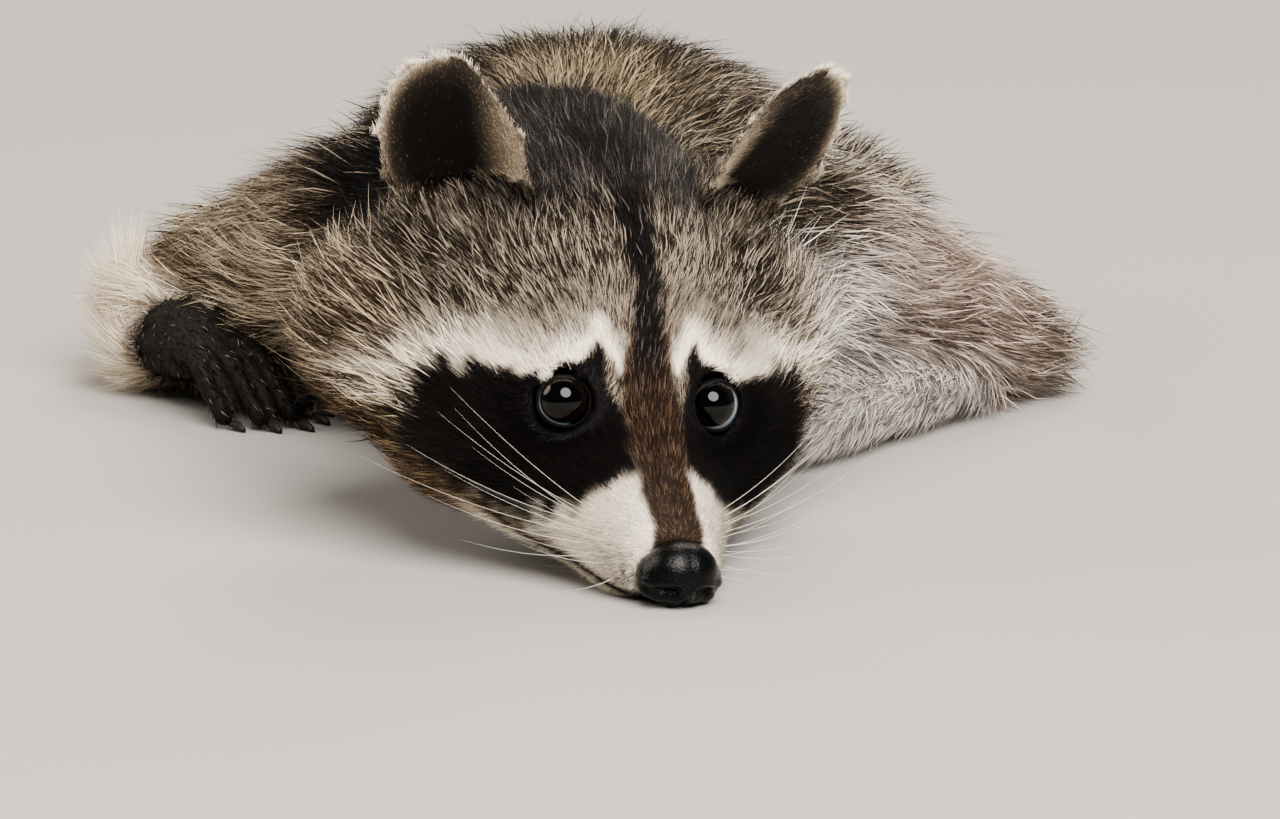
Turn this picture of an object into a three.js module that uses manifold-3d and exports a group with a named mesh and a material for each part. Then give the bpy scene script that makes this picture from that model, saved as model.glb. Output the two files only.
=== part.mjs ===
// A life-size raccoon lying on its belly: chin on the floor, head turned to its left and tipped down, right
// hand planted beside the chest, left forearm folded under it, hind feet beside the belly, tail out behind.
// Millimetres. +Z is up, the head points to -Y, +X is the animal's left. Each solid is the coat's outside.
import * as THREE from 'three';
import { mergeVertices } from 'three/addons/utils/BufferGeometryUtils.js';
import Module from 'manifold-3d';

const wasm = await Module();
wasm.setup();

// ---------- driving dimensions ----------
const EYE_HEIGHT = 54; // the point midway between the eyes, above the floor
const HEAD_YAW = 18.6; // degrees, to the animal's left
const HEAD_PITCH = 25; // degrees, nose down
const HEAD_ROLL = 6.4; // degrees, crown towards its left
const EYE_SPACING = 46.4;
const EYE_RADIUS = 8;
const MUZZLE_LENGTH = 64; // eye line to nose tip
const RUFF_HALF_WIDTH = 86; // cheek fur, from the face's middle
const EAR_HEIGHT = 63;
const EAR_WIDTH = 50;
const EAR_THICKNESS = 6.5;
const SPINE_X = -14; // the trunk's middle line, beside the eyes' middle
const BACK_HEIGHT = 126;
const RUMP_Y = 444;
const TAIL_LENGTH = 235;
const TAIL_RADIUS = 33;
const HAND_LENGTH = 66;
const FOOT_LENGTH = 98;
const CLAW_LENGTH = 9;
const MOUTH_TILT = -9.5; // degrees, of the mouth line to the head's own level
const MOUTH_LEVEL = -35.6; // of the mouth line, at the middle of the muzzle
const GAP = 0.35; // between touching solids
// Flatness below which neighbouring facets are joined.
const FLATNESS = 0.16;

// ---------- small helpers ----------
const vec = (x, y, z) => new THREE.Vector3(x, y, z);
const rad = THREE.MathUtils.degToRad;
const lerp = THREE.MathUtils.lerp;
const clamp = THREE.MathUtils.clamp;
const smooth = THREE.MathUtils.smoothstep;
const side = (point, s) => vec(point.x * s, point.y, point.z);

// ---------- fields: negative inside, about the distance in mm outside ----------
// An ellipsoid, turned about its own centre by yaw and pitch in degrees.
function ball(centre, radii, yaw = 0, pitch = 0) {
  const back = new THREE.Matrix4()
    .makeRotationFromEuler(new THREE.Euler(rad(pitch), 0, rad(yaw), 'ZXY'))
    .invert();
  const q = new THREE.Vector3();
  return (p) => {
    q.copy(p).sub(centre).applyMatrix4(back);
    const near = Math.hypot(q.x / radii.x, q.y / radii.y, q.z / radii.z);
    const steep = Math.hypot(q.x / radii.x ** 2, q.y / radii.y ** 2, q.z / radii.z ** 2);
    return steep < 1e-9 ? -Math.min(radii.x, radii.y, radii.z) : (near * (near - 1)) / steep;
  };
}

// A straight limb with a round end at a and at b.
function taper(a, radiusA, b, radiusB) {
  const along = b.clone().sub(a);
  const square = along.lengthSq();
  const q = new THREE.Vector3();
  return (p) => {
    q.copy(p).sub(a);
    const t = clamp(q.dot(along) / square, 0, 1);
    return q.addScaledVector(along, -t).length() - lerp(radiusA, radiusB, t);
  };
}

// Fields melted together over about `softness` mm.
function melt(softness, ...fields) {
  return (p) =>
    fields.reduce((low, field) => {
      const next = field(p);
      const h = Math.max(softness - Math.abs(low - next), 0) / softness;
      return Math.min(low, next) - (h * h * softness) / 4;
    }, Infinity);
}

// ---------- surfaces ----------
// A geometry whose corners are shared, with nothing stored but where they are.
function welded(geometry) {
  geometry.deleteAttribute('normal');
  geometry.deleteAttribute('uv');
  return mergeVertices(geometry, 1e-3);
}
const sphere = (radius, sides, rings) => welded(new THREE.SphereGeometry(radius, sides, rings));

const SPHERE_CAP = 0.22; // share of the rings that closes each end
const STEP = 2.5; // mm, of the search for the surface

// The skin of a field: a sphere's grid, drawn out along the spine, that shrinks onto the field's level.
function wrap(field, spine, rings, sides, reach, level = 0) {
  const curve = new THREE.CatmullRomCurve3(spine, false, 'centripetal');
  const grid = sphere(1, sides, rings);
  const spots = grid.getAttribute('position');
  const ray = new THREE.Vector3();
  const here = new THREE.Vector3();
  const outside = (from, r) => field(here.copy(from).addScaledVector(ray, r)) > level;
  for (let i = 0; i < spots.count; i++) {
    const polar = Math.acos(clamp(spots.getY(i), -1, 1)) / Math.PI;
    const around = Math.atan2(spots.getZ(i), spots.getX(i));
    const t = clamp((polar - SPHERE_CAP) / (1 - 2 * SPHERE_CAP), 0, 1);
    const fromEnd = Math.min(Math.min(polar, 1 - polar) / SPHERE_CAP, 1);
    const cap = polar < 0.5 ? fromEnd : 2 - fromEnd;
    const from = curve.getPoint(t);
    const ahead = curve.getTangent(t);
    const across = vec(0, 0, 1).cross(ahead).normalize();
    const up = ahead.clone().cross(across);
    const lean = (cap * Math.PI) / 2;
    ray.copy(across).multiplyScalar(Math.cos(around)).addScaledVector(up, Math.sin(around));
    ray.multiplyScalar(Math.sin(lean)).addScaledVector(ahead, -Math.cos(lean)).normalize();
    let far = reach;
    while (far > STEP && outside(from, far)) far -= STEP;
    let near = far;
    far += STEP;
    for (let k = 0; k < 14; k++) {
      const middle = (near + far) / 2;
      if (outside(from, middle)) far = middle;
      else near = middle;
    }
    here.copy(from).addScaledVector(ray, near);
    spots.setXYZ(i, here.x, here.y, here.z);
  }
  return grid;
}

// ---------- solids ----------
function solid(geometry) {
  const triVerts = new Uint32Array(geometry.index.array);
  const vertProperties = geometry.getAttribute('position').array;
  const made = new wasm.Manifold(new wasm.Mesh({ numProp: 3, vertProperties, triVerts }));
  if (made.volume() > 0) return made;
  const turned = triVerts.slice();
  for (let i = 0; i < turned.length; i += 3) {
    [turned[i + 1], turned[i + 2]] = [turned[i + 2], turned[i + 1]];
  }
  return new wasm.Manifold(new wasm.Mesh({ numProp: 3, vertProperties, triVerts: turned }));
}

const biggest = (made) => made.decompose().sort((a, b) => b.volume() - a.volume())[0];
const less = (made, ...cutters) => cutters.reduce((left, cutter) => left.subtract(cutter), made);

function box(low, high) {
  const size = high.clone().sub(low);
  const middle = low.clone().add(high).multiplyScalar(0.5);
  const block = new THREE.BoxGeometry(size.x, size.y, size.z);
  return solid(welded(block.translate(middle.x, middle.y, middle.z)));
}

const FAR = 2000;
const ground = box(vec(-FAR, -FAR, -FAR), vec(FAR, FAR, 0));

// The slice of a solid between two planes across Y, with half the gap off each face.
function between(made, front, back) {
  return made.intersect(box(vec(-FAR, front + GAP / 2, -FAR), vec(FAR, back - GAP / 2, FAR)));
}

// ---------- colours ----------
const paint = (color, roughness) => new THREE.MeshStandardMaterial({ color, roughness, metalness: 0 });
const COAT = paint(0x8a7c6c, 0.85);
const FACE = paint(0xa3937f, 0.8);
const LEG = paint(0x4a3f37, 0.85);
const BARE = paint(0x1d1917, 0.55);
const EYE = paint(0x0b0808, 0.08);
const CLAW = paint(0x2b2420, 0.4);
const EAR = paint(0xb9ad9a, 0.85);
const TAIL_PALE = paint(0x9b8b76, 0.85);

const nodes = [];
function add(name, made, material) {
  const whole = biggest(less(made, ground));
  nodes.push({ name, made: biggest(whole.simplify(FLATNESS)), material }); // joining facets may free a crumb
}

// ---------- head, in its own frame: X to the animal's left, -Y to the nose, Z up, zero between the eyes ----
const headPose = new THREE.Matrix4()
  .makeRotationFromEuler(new THREE.Euler(rad(HEAD_PITCH), rad(HEAD_ROLL), rad(HEAD_YAW), 'ZXY'))
  .setPosition(0, 0, EYE_HEIGHT);
const posed = (geometry) => solid(geometry.applyMatrix4(headPose));
const headPoint = (x, y, z) => vec(x, y, z).applyMatrix4(headPose);
const pair = (make) => [make(-1), make(1)];

const eyeCentre = vec(EYE_SPACING / 2, -0.5, -3.5);
const noseCentre = vec(0, 4 - MUZZLE_LENGTH, -22);
const ruffRadii = vec(38, 36, 35);

const jawField = melt(
  10,
  taper(vec(0, -39, -34), 7.5, vec(0, -16, -34), 13),
  taper(vec(0, -16, -34), 13, vec(0, 22, -34), 22),
);
const headField = melt(
  14,
  ball(vec(0, 66, -2), vec(52, 68, 46)),
  taper(vec(0, -44, -22.5), 12.5, vec(0, -6, -17), 22),
  ...pair((s) => ball(side(vec(8.5, -40, -27), s), vec(8.5, 16, 9.5))),
  ...pair((s) => taper(side(vec(10, -30, -30), s), 12, side(vec(40, 24, -30), s), 26)),
  ...pair((s) => ball(side(vec(21, 15, -8), s), vec(25, 18, 20))),
  ...pair((s) => ball(side(vec(RUFF_HALF_WIDTH - ruffRadii.x, 54, -19), s), ruffRadii, -14 * s)),
  jawField,
);
const noseField = melt(
  4,
  ball(noseCentre, vec(12, 9.5, 9)),
  ball(noseCentre.clone().add(vec(0, 2, -5)), vec(7, 8, 6)),
  ...pair((s) => ball(noseCentre.clone().add(vec(6 * s, 1, -1)), vec(6.5, 7.5, 6.5))),
);

const headSpine = [vec(0, -42, -25), vec(0, -8, -17), vec(0, 30, -8), vec(0, 70, -4)];
const headSkin = (level) => posed(wrap(headField, headSpine, 34, 26, 130, level));
const noseSpine = [noseCentre.clone().add(vec(0, -1, 0)), noseCentre.clone().add(vec(0, 2, -1))];
const noseSkin = (level) => posed(wrap(noseField, noseSpine, 10, 12, 20, level));
const eyeBall = (s, grow) =>
  posed(sphere(EYE_RADIUS + grow, 12, 8).translate(eyeCentre.x * s, eyeCentre.y, eyeCentre.z));

// A nostril: a comma-shaped pit, wide in front and narrowing to the side.
const nostril = (s) => {
  const mouth = noseCentre.clone().add(vec(4.6 * s, -9.5, 0.5));
  const tail = noseCentre.clone().add(vec(10.5 * s, -4, -1.5));
  return posed(wrap(taper(mouth, 2.3, tail, 1.3), [mouth, mouth.clone().lerp(tail, 0.9)], 6, 6, 6));
};

// An ear: a cupped leaf with a round tip, leaning out and turned a little to the side.
const earRoot = vec(42, 62, 18);
const earTip = vec(61, 60, 18 + EAR_HEIGHT - 2);
const EAR_TURN = 24; // degrees, of its opening away from straight ahead
const EAR_CUP = 13; // depth of the hollow
const EAR_SUNK = 14; // length of the leaf below its root
const EAR_TRIM = 0.42; // the right ear is folded a little, so its inner edge slopes more
function ear(s) {
  const grid = sphere(1, 14, 11);
  const spots = grid.getAttribute('position');
  const up = earTip.clone().sub(earRoot).normalize();
  const face = vec(Math.sin(rad(EAR_TURN)), -Math.cos(rad(EAR_TURN)), 0);
  face.addScaledVector(up, -face.dot(up)).normalize();
  const across = up.clone().cross(face).negate();
  const tall = (EAR_HEIGHT + EAR_SUNK) / 2;
  for (let i = 0; i < spots.count; i++) {
    const [u, front, v] = [spots.getX(i), spots.getZ(i), spots.getY(i)];
    const height = tall * (1 + v) - EAR_SUNK;
    const trim = u > 0 && s < 0 ? 1 - EAR_TRIM * smooth(v, -0.1, 0.8) : 1;
    const wide = (EAR_WIDTH / 2) * u * trim * (1 + 0.12 * (1 - v) * v);
    const cup = EAR_CUP * (u * u - 0.55) * smooth(-v, -1.1, 0.4);
    const place = earRoot.clone().addScaledVector(up, height).addScaledVector(across, wide);
    place.addScaledVector(face, cup + (front * EAR_THICKNESS) / 2);
    spots.setXYZ(i, place.x * s, place.y, place.z);
  }
  return posed(grid);
}

// ---------- neck and trunk, in the floor's frame ----------
const at = (x, y, z) => vec(SPINE_X + x, y, z);
const nape = headPoint(0, 86, -8);
const trunkField = melt(
  30,
  taper(nape, 42, at(0, 140, 66), 56),
  ball(at(-4, 178, 58), vec(86, 74, 62)),
  ball(at(-4, 240, BACK_HEIGHT - 68), vec(86, 92, 64)),
  ball(at(-4, 312, 47), vec(87, 84, 53)),
  ball(at(0, RUMP_Y - 66, 40), vec(78, 62, 43)),
);
const trunkSpine = [nape, at(0, 140, 64), at(0, 240, 58), at(0, 330, 52), at(0, RUMP_Y - 62, 48)];
const trunkSkin = (level) => solid(wrap(trunkField, trunkSpine, 24, 22, 190, level));
const NECK_BACK = 124;
const CHEST_BACK = 225;
const BELLY_BACK = 335;

// ---------- limbs ----------
// Each limb's joints with the coat's radius round them.
const FORE = {
  r: {
    shoulder: [at(-66, 190, 64), 38],
    elbow: [at(-128, 298, 26), 25],
    wrist: [at(-140, 249, 19), 13.5],
    reach: vec(0.6, -0.78, 0.14),
    back: vec(-0.1, -0.2, 0.97),
    thick: 12,
    droop: 24,
  },
  l: {
    shoulder: [at(60, 188, 56), 42],
    elbow: [at(130, 250, 17), 25],
    wrist: [at(60, 136, 14), 14],
    reach: vec(-0.62, -0.78, -0.1),
    back: vec(0, -0.1, 1),
    thick: 9.5,
    droop: 3,
  },
};
const HIND = {
  r: {
    hip: [at(-50, 368, 42), 38],
    knee: [at(-84, 330, 40), 26],
    heel: [at(-92, 396, 15), 13],
    toes: vec(-0.06, -1, 0),
  },
  l: {
    hip: [at(50, 366, 42), 38],
    knee: [at(88, 322, 39), 27],
    heel: [at(98, 388, 15), 13],
    toes: vec(0.1, -1, 0),
  },
};

const bone = ([a, radiusA], [b, radiusB]) => ({
  field: taper(a, radiusA, b, radiusB),
  spine: [a, a.clone().lerp(b, 0.5), b],
  reach: Math.max(radiusA, radiusB) + 8,
});
const limbSkin = (piece, rings, sides, level = 0) =>
  solid(wrap(piece.field, piece.spine, rings, sides, piece.reach, level));

// A hand or foot: a palm and five digits that spread from its knuckles, each with its own claw.
function paw({ root, ahead, dorsal, length, palmShare, width, thick, digitRadius, spread, droop }) {
  const forward = ahead.clone().normalize();
  const up = dorsal.clone().addScaledVector(forward, -dorsal.dot(forward)).normalize();
  const across = forward.clone().cross(up);
  const spot = (f, a, u) =>
    root.clone().addScaledVector(forward, f).addScaledVector(across, a).addScaledVector(up, u);
  const palm = length * palmShare;
  const palmField = melt(
    8,
    taper(root, thick * 0.95, spot(palm * 0.9, -width * 0.22, 0), thick),
    taper(root, thick * 0.95, spot(palm * 0.9, width * 0.22, 0), thick),
  );
  const digits = [-2, -1, 0, 1, 2].map((k) => {
    const angle = rad(spread * k);
    const start = spot(palm * (0.92 - 0.07 * Math.abs(k) ** 1.6), width * 0.21 * k, 0);
    const run = (length - palm) * (1 - 0.07 * Math.abs(k) ** 1.5);
    const knuckle = start.clone().addScaledVector(forward, run * 0.55 * Math.cos(angle));
    knuckle.addScaledVector(across, run * 0.55 * Math.sin(angle)).addScaledVector(up, Math.min(droop / 3, 3));
    const tip = start.clone().addScaledVector(forward, run * Math.cos(angle));
    tip.addScaledVector(across, run * Math.sin(angle)).addScaledVector(up, -droop);
    tip.z = Math.max(tip.z, digitRadius * 0.8);
    return { start, knuckle, tip, heading: tip.clone().sub(knuckle).normalize() };
  });
  const spine = [root, spot(palm * 0.45, 0, 0), spot(palm * 0.86, 0, 0)];
  return { palmField, spine, digits, digitRadius };
}

function pawSolid(shape, level = 0) {
  const palm = solid(wrap(shape.palmField, shape.spine, 7, 9, 45, level));
  return shape.digits.reduce((made, { start, knuckle, tip }) => {
    const r = shape.digitRadius;
    const field = melt(3, taper(start, r * 1.1, knuckle, r), taper(knuckle, r, tip, r * 0.85));
    return made.add(solid(wrap(field, [start, knuckle, tip], 5, 5, 14, level)));
  }, palm);
}

// A claw: a curved cone out of the digit's tip.
function clawSolid(digit, radius) {
  const root = digit.tip.clone().addScaledVector(digit.heading, radius * 1.3);
  root.z = Math.max(root.z + radius * 0.35, 2.2);
  const middle = root.clone().addScaledVector(digit.heading, CLAW_LENGTH * 0.5);
  middle.z = Math.max(middle.z, 2.1);
  const tip = root.clone().addScaledVector(digit.heading, CLAW_LENGTH * 0.92);
  tip.z = Math.max(tip.z - 2.4, 0.7);
  const field = melt(1, taper(root, 1.9, middle, 1.4), taper(middle, 1.4, tip, 0.45));
  return solid(wrap(field, [root, middle, tip], 4, 4, 4));
}

// ---------- the animal ----------
const headWhole = headSkin(0);
const headCut = headSkin(GAP);
const noseCut = noseSkin(GAP);
const eyeCuts = pair((s) => eyeBall(s, GAP));
add('nose', less(noseSkin(0), ...pair(nostril)), BARE);
pair((s) => add(s < 0 ? 'eye_r' : 'eye_l', eyeBall(s, 0), EYE));
// The lower jaw: what lies under the mouth's plane, as far back as the corners of the lips.
const jawBlock = (grow) =>
  posed(
    welded(new THREE.BoxGeometry(90, 64 + grow, 60 + grow))
      .rotateX(rad(MOUTH_TILT))
      .translate(0, -42, MOUTH_LEVEL - 30),
  );
add('jaw', less(headWhole, noseCut).intersect(jawBlock(0)), FACE);
add('head', less(headWhole, noseCut, ...eyeCuts, jawBlock(2 * GAP)), FACE);
pair((s) => add(s < 0 ? 'ear_r' : 'ear_l', less(ear(s), headCut), EAR));

const trunkWhole = less(trunkSkin(0), headCut, ...pair(ear));
const trunkCut = trunkSkin(GAP);
add('neck', between(trunkWhole, -FAR, NECK_BACK), COAT);
add('chest', between(trunkWhole, NECK_BACK, CHEST_BACK), COAT);
add('belly', between(trunkWhole, CHEST_BACK, BELLY_BACK), COAT);
add('rump', between(trunkWhole, BELLY_BACK, FAR), COAT);

const body = [headCut, trunkCut];
const done = [];
for (const s of ['r', 'l']) {
  const { shoulder, elbow, wrist, reach, back, thick, droop } = FORE[s];
  const upper = bone(shoulder, elbow);
  const lower = bone([elbow[0], elbow[1] * 0.82], wrist);
  const hand = paw({
    root: wrist[0].clone().addScaledVector(reach, 6),
    ahead: reach,
    dorsal: back,
    length: HAND_LENGTH - 6,
    palmShare: 0.5,
    width: 27,
    thick,
    digitRadius: 4.4,
    spread: 7,
    droop,
  });
  const upperCut = limbSkin(upper, 9, 12, GAP);
  const lowerCut = limbSkin(lower, 8, 10, GAP);
  add(`upper_arm_${s}`, less(limbSkin(upper, 9, 12), ...body, ...done), COAT);
  add(`forearm_${s}`, less(limbSkin(lower, 8, 10), ...body, upperCut, ...done), LEG);
  add(`hand_${s}`, less(pawSolid(hand), ...body, upperCut, lowerCut, ...done), BARE);
  const handCut = pawSolid(hand, GAP);
  hand.digits.forEach((digit, i) => {
    const claw = clawSolid(digit, hand.digitRadius);
    add(`claw_hand_${s}${i + 1}`, less(claw, handCut, ...body), CLAW);
  });
  done.push(upperCut, lowerCut, handCut);
}
for (const s of ['r', 'l']) {
  const { hip, knee, heel, toes } = HIND[s];
  const upper = bone(hip, knee);
  const lower = bone([knee[0], knee[1] * 0.7], heel);
  const foot = paw({
    root: heel[0].clone().add(vec(0, 0, -8)),
    ahead: toes,
    dorsal: vec(0, 0, 1),
    length: FOOT_LENGTH - 12,
    palmShare: 0.7,
    width: 32,
    thick: 11,
    digitRadius: 4.8,
    spread: 6,
    droop: 3,
  });
  const upperCut = limbSkin(upper, 9, 12, GAP);
  const lowerCut = limbSkin(lower, 8, 10, GAP);
  add(`thigh_${s}`, less(limbSkin(upper, 9, 12), ...body, ...done), COAT);
  add(`shank_${s}`, less(limbSkin(lower, 8, 10), ...body, upperCut, ...done), LEG);
  add(`foot_${s}`, less(pawSolid(foot), ...body, upperCut, lowerCut, ...done), LEG);
  const footCut = pawSolid(foot, GAP);
  foot.digits.forEach((digit, i) => {
    const claw = clawSolid(digit, foot.digitRadius);
    add(`claw_foot_${s}${i + 1}`, less(claw, footCut, upperCut, ...body), CLAW);
  });
  done.push(upperCut, lowerCut, footCut);
}

// ---------- tail: lies straight out behind with a slight bend, parted into three lengths ----------
const TAIL_PARTS = 3;
const tailPath = new THREE.CatmullRomCurve3([
  at(0, RUMP_Y - 22, 42),
  at(2, RUMP_Y + 36, TAIL_RADIUS - 4),
  at(-6, RUMP_Y + 120, TAIL_RADIUS - 5),
  at(-16, RUMP_Y + TAIL_LENGTH - 22, 18),
]);
const tailSwell = (t) => 0.68 + 0.32 * Math.sin(Math.PI * Math.min(t * 1.25, 1));
const tailRadius = (t) => TAIL_RADIUS * tailSwell(t) * (1 - 0.16 * t);
const tailBeads = Array.from({ length: 14 }, (_, i) => i / 13);
const tailField = melt(
  6,
  ...tailBeads.slice(1).map((t, i) =>
    taper(tailPath.getPoint(tailBeads[i]), tailRadius(tailBeads[i]), tailPath.getPoint(t), tailRadius(t)),
  ),
);
const tailWhole = less(solid(wrap(tailField, tailPath.getPoints(6), 17, 11, 60)), trunkCut, ...done);
for (let i = 0; i < TAIL_PARTS; i++) {
  const front = i === 0 ? -FAR : tailPath.getPoint(i / TAIL_PARTS).y;
  const back = i === TAIL_PARTS - 1 ? FAR : tailPath.getPoint((i + 1) / TAIL_PARTS).y;
  add(`tail_${i + 1}`, between(tailWhole, front, back), TAIL_PALE);
}

// ---------- the scene graph: zero on the floor, under the middle of the box ----------
function meshOf({ name, made, material }) {
  const { numProp, vertProperties, triVerts, numVert } = made.getMesh();
  const places = new Float32Array(numVert * 3);
  for (let i = 0; i < numVert; i++) {
    places.set(vertProperties.subarray(i * numProp, i * numProp + 3), i * 3);
  }
  const geometry = new THREE.BufferGeometry();
  geometry.setAttribute('position', new THREE.BufferAttribute(places, 3));
  geometry.setIndex(new THREE.BufferAttribute(triVerts, 1));
  geometry.computeVertexNormals();
  const mesh = new THREE.Mesh(geometry, material);
  mesh.name = name;
  return mesh;
}

const animal = new THREE.Group();
nodes.forEach((node) => animal.add(meshOf(node)));
const extent = new THREE.Box3().setFromObject(animal);
const middle = extent.getCenter(new THREE.Vector3());
animal.position.set(-middle.x, -middle.y, -extent.min.z);
const raccoon = new THREE.Group();
raccoon.add(animal);
export default raccoon;
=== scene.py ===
import math

import bmesh
import bpy
import numpy as np
from mathutils import Matrix, Vector
from mathutils.bvhtree import BVHTree
from mathutils.kdtree import KDTree


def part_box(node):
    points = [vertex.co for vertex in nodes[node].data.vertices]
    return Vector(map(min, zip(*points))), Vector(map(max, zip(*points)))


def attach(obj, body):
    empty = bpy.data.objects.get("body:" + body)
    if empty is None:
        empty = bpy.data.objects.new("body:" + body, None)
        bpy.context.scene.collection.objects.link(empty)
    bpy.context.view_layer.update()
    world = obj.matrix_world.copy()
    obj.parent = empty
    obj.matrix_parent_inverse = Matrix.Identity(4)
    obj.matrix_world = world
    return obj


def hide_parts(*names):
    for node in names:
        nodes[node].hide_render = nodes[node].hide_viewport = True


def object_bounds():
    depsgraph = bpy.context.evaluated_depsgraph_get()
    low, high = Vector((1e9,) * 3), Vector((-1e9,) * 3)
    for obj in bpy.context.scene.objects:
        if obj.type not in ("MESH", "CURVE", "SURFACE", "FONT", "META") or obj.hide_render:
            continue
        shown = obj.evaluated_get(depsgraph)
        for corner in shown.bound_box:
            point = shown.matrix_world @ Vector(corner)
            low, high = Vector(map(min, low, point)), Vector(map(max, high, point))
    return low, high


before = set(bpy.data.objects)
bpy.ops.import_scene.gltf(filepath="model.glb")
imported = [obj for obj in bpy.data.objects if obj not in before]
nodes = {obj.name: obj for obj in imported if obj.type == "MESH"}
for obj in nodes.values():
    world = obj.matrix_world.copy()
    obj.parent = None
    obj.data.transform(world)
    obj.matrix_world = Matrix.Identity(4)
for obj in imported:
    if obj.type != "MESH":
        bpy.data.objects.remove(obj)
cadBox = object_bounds()
mm = 0.001


# colours, nodes, objects
def hexColour(code):  # "#rrggbb" in sRGB to linear
    parts = [int(code[i:i + 2], 16) / 255 for i in (1, 3, 5)]
    return np.array([c / 12.92 if c <= 0.04045 else ((c + 0.055) / 1.055) ** 2.4 for c in parts])


def rgba(code):
    return (*hexColour(code), 1.0)


def newMaterial(name):
    material = bpy.data.materials.new(name)
    material.use_nodes = True
    material.node_tree.nodes.clear()
    return material, material.node_tree


def addNode(tree, kind, settings=None, inputs=None):  # inputs: socket to a value, an output or a node
    node = tree.nodes.new("ShaderNode" + kind)
    for key, value in (settings or {}).items():
        setattr(node, key, value)
    for key, value in (inputs or {}).items():
        if isinstance(value, bpy.types.Node):
            value = value.outputs[0]
        if isinstance(value, bpy.types.NodeSocket):
            tree.links.new(value, node.inputs[key])
        else:
            node.inputs[key].default_value = value
    return node


# noise with lumps of that size in mm, and the same noise as a value from low to high
def mottle(tree, size, low, high, detail=2.0):
    place = addNode(tree, "TexCoord")
    noise = addNode(tree, "TexNoise", inputs={
        "Vector": place.outputs["Object"], "Scale": 1 / (size * mm), "Detail": detail})
    return noise, addNode(tree, "MapRange", inputs={"Value": noise, "To Min": low, "To Max": high})


def placeObject(name, data):
    made = bpy.data.objects.new(name, data)
    bpy.context.scene.collection.objects.link(made)
    return made


def newPiece(name, mesh, material):
    mesh.materials.append(material)
    mesh.polygons.foreach_set("use_smooth", [True] * len(mesh.polygons))
    piece = placeObject(name, mesh)
    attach(piece, "root")
    return piece


def finishedMesh(shape, name):
    mesh = bpy.data.meshes.new(name)
    shape.to_mesh(mesh)
    shape.free()
    return mesh


# small sums on arrays of points
def unit(vectors):
    return vectors / np.maximum(np.linalg.norm(vectors, axis=-1, keepdims=True), 1e-12)


def step(values, low, high):  # 0 below low, 1 above high, smooth between
    t = np.clip((values - low) / (high - low), 0, 1)
    return t * t * (3 - 2 * t)


def mix(a, b, share):
    return a + (b - a) * (share[..., None] if np.ndim(a) > np.ndim(share) else share)


def waves(points, size, seed, count=7):  # smooth noise about -1 to 1, with lumps of that size
    draw = np.random.default_rng(seed)
    turns = unit(draw.normal(size=(count, 3))) * draw.uniform(0.6, 1.5, (count, 1)) * 2 * math.pi / size
    phases = draw.uniform(0, 2 * math.pi, count)
    return np.sin(points @ turns.T + phases).sum(1) / math.sqrt(count)


def readPoints(mesh):
    found = np.empty(len(mesh.vertices) * 3)
    mesh.vertices.foreach_get("co", found)
    return found.reshape(-1, 3)


def writePoints(mesh, points):
    mesh.vertices.foreach_set("co", points.ravel())
    mesh.update()


def readNormals(mesh):
    found = np.empty(len(mesh.vertices) * 3)
    mesh.vertices.foreach_get("normal", found)
    return found.reshape(-1, 3)


def storeColour(mesh, name, colours):
    layer = mesh.color_attributes.new(name, "FLOAT_COLOR", "POINT")
    layer.data.foreach_set("color", np.c_[colours, np.ones(len(colours))].astype(np.float32).ravel())


# the head's own frame, in mm: X to the animal's left, -Y to the nose, Z up, zero between the eyes
headTurn = {"yaw": 18.6, "pitch": 25.0, "roll": 6.4}
eyeSeat = np.array((0.0, -0.5, -3.5))  # the middle of the two eyeballs
turns = [Matrix.Rotation(math.radians(headTurn[key]), 3, axis) for key, axis in
         (("yaw", "Z"), ("pitch", "X"), ("roll", "Y"))]
headAxes = np.array(turns[0] @ turns[1] @ turns[2])
eyeBoxes = {side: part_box("eye_" + side) for side in "rl"}
eyeCentres = {side: np.array((low + high) / 2) for side, (low, high) in eyeBoxes.items()}
eyeMiddle = (eyeCentres["r"] + eyeCentres["l"]) / 2
headZero = eyeMiddle - headAxes @ eyeSeat * mm


def toHead(points):
    return (points - headZero) @ headAxes / mm


def fromHead(points):
    return headZero + np.asarray(points) * mm @ headAxes.T


# the body's frame, in mm: zero on the floor under the spine's middle line, the eyes lie 311 ahead of it
bodyZero = np.array((eyeMiddle[0] - 0.0133, eyeMiddle[1] + 0.311, 0.0))


def toBody(points):
    return (points - bodyZero) / mm


# camera, floor and light
view = {
    "elevation": 12.0,  # degrees, looking down on the animal
    "distance": 2.5,
    "scale": 3.432,  # pixels to the millimetre, at the eyes
    "eyesAt": (636.6, 402.5),  # where the middle of the eyes stands, in pixels
    "image": (1280, 819),
    "sensor": 36.0,
}


def makeCamera():
    lean = math.radians(view["elevation"])
    width, height = view["image"]
    aside = (width / 2 - view["eyesAt"][0]) / view["scale"] * mm
    below = (height / 2 - view["eyesAt"][1]) / view["scale"] * mm
    up = Vector((0, math.sin(lean), math.cos(lean)))
    ahead = Vector((0, math.cos(lean), -math.sin(lean)))
    target = Vector(eyeMiddle) + Vector((1, 0, 0)) * aside - up * below
    data = bpy.data.cameras.new("camera")
    data.sensor_width = view["sensor"]
    data.lens = view["scale"] / mm * view["distance"] * view["sensor"] / width
    data.clip_end = 50
    camera = placeObject("camera", data)
    camera.location = target - ahead * view["distance"]
    camera.rotation_euler = (math.pi / 2 - lean, 0, 0)
    bpy.context.scene.camera = camera


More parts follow.
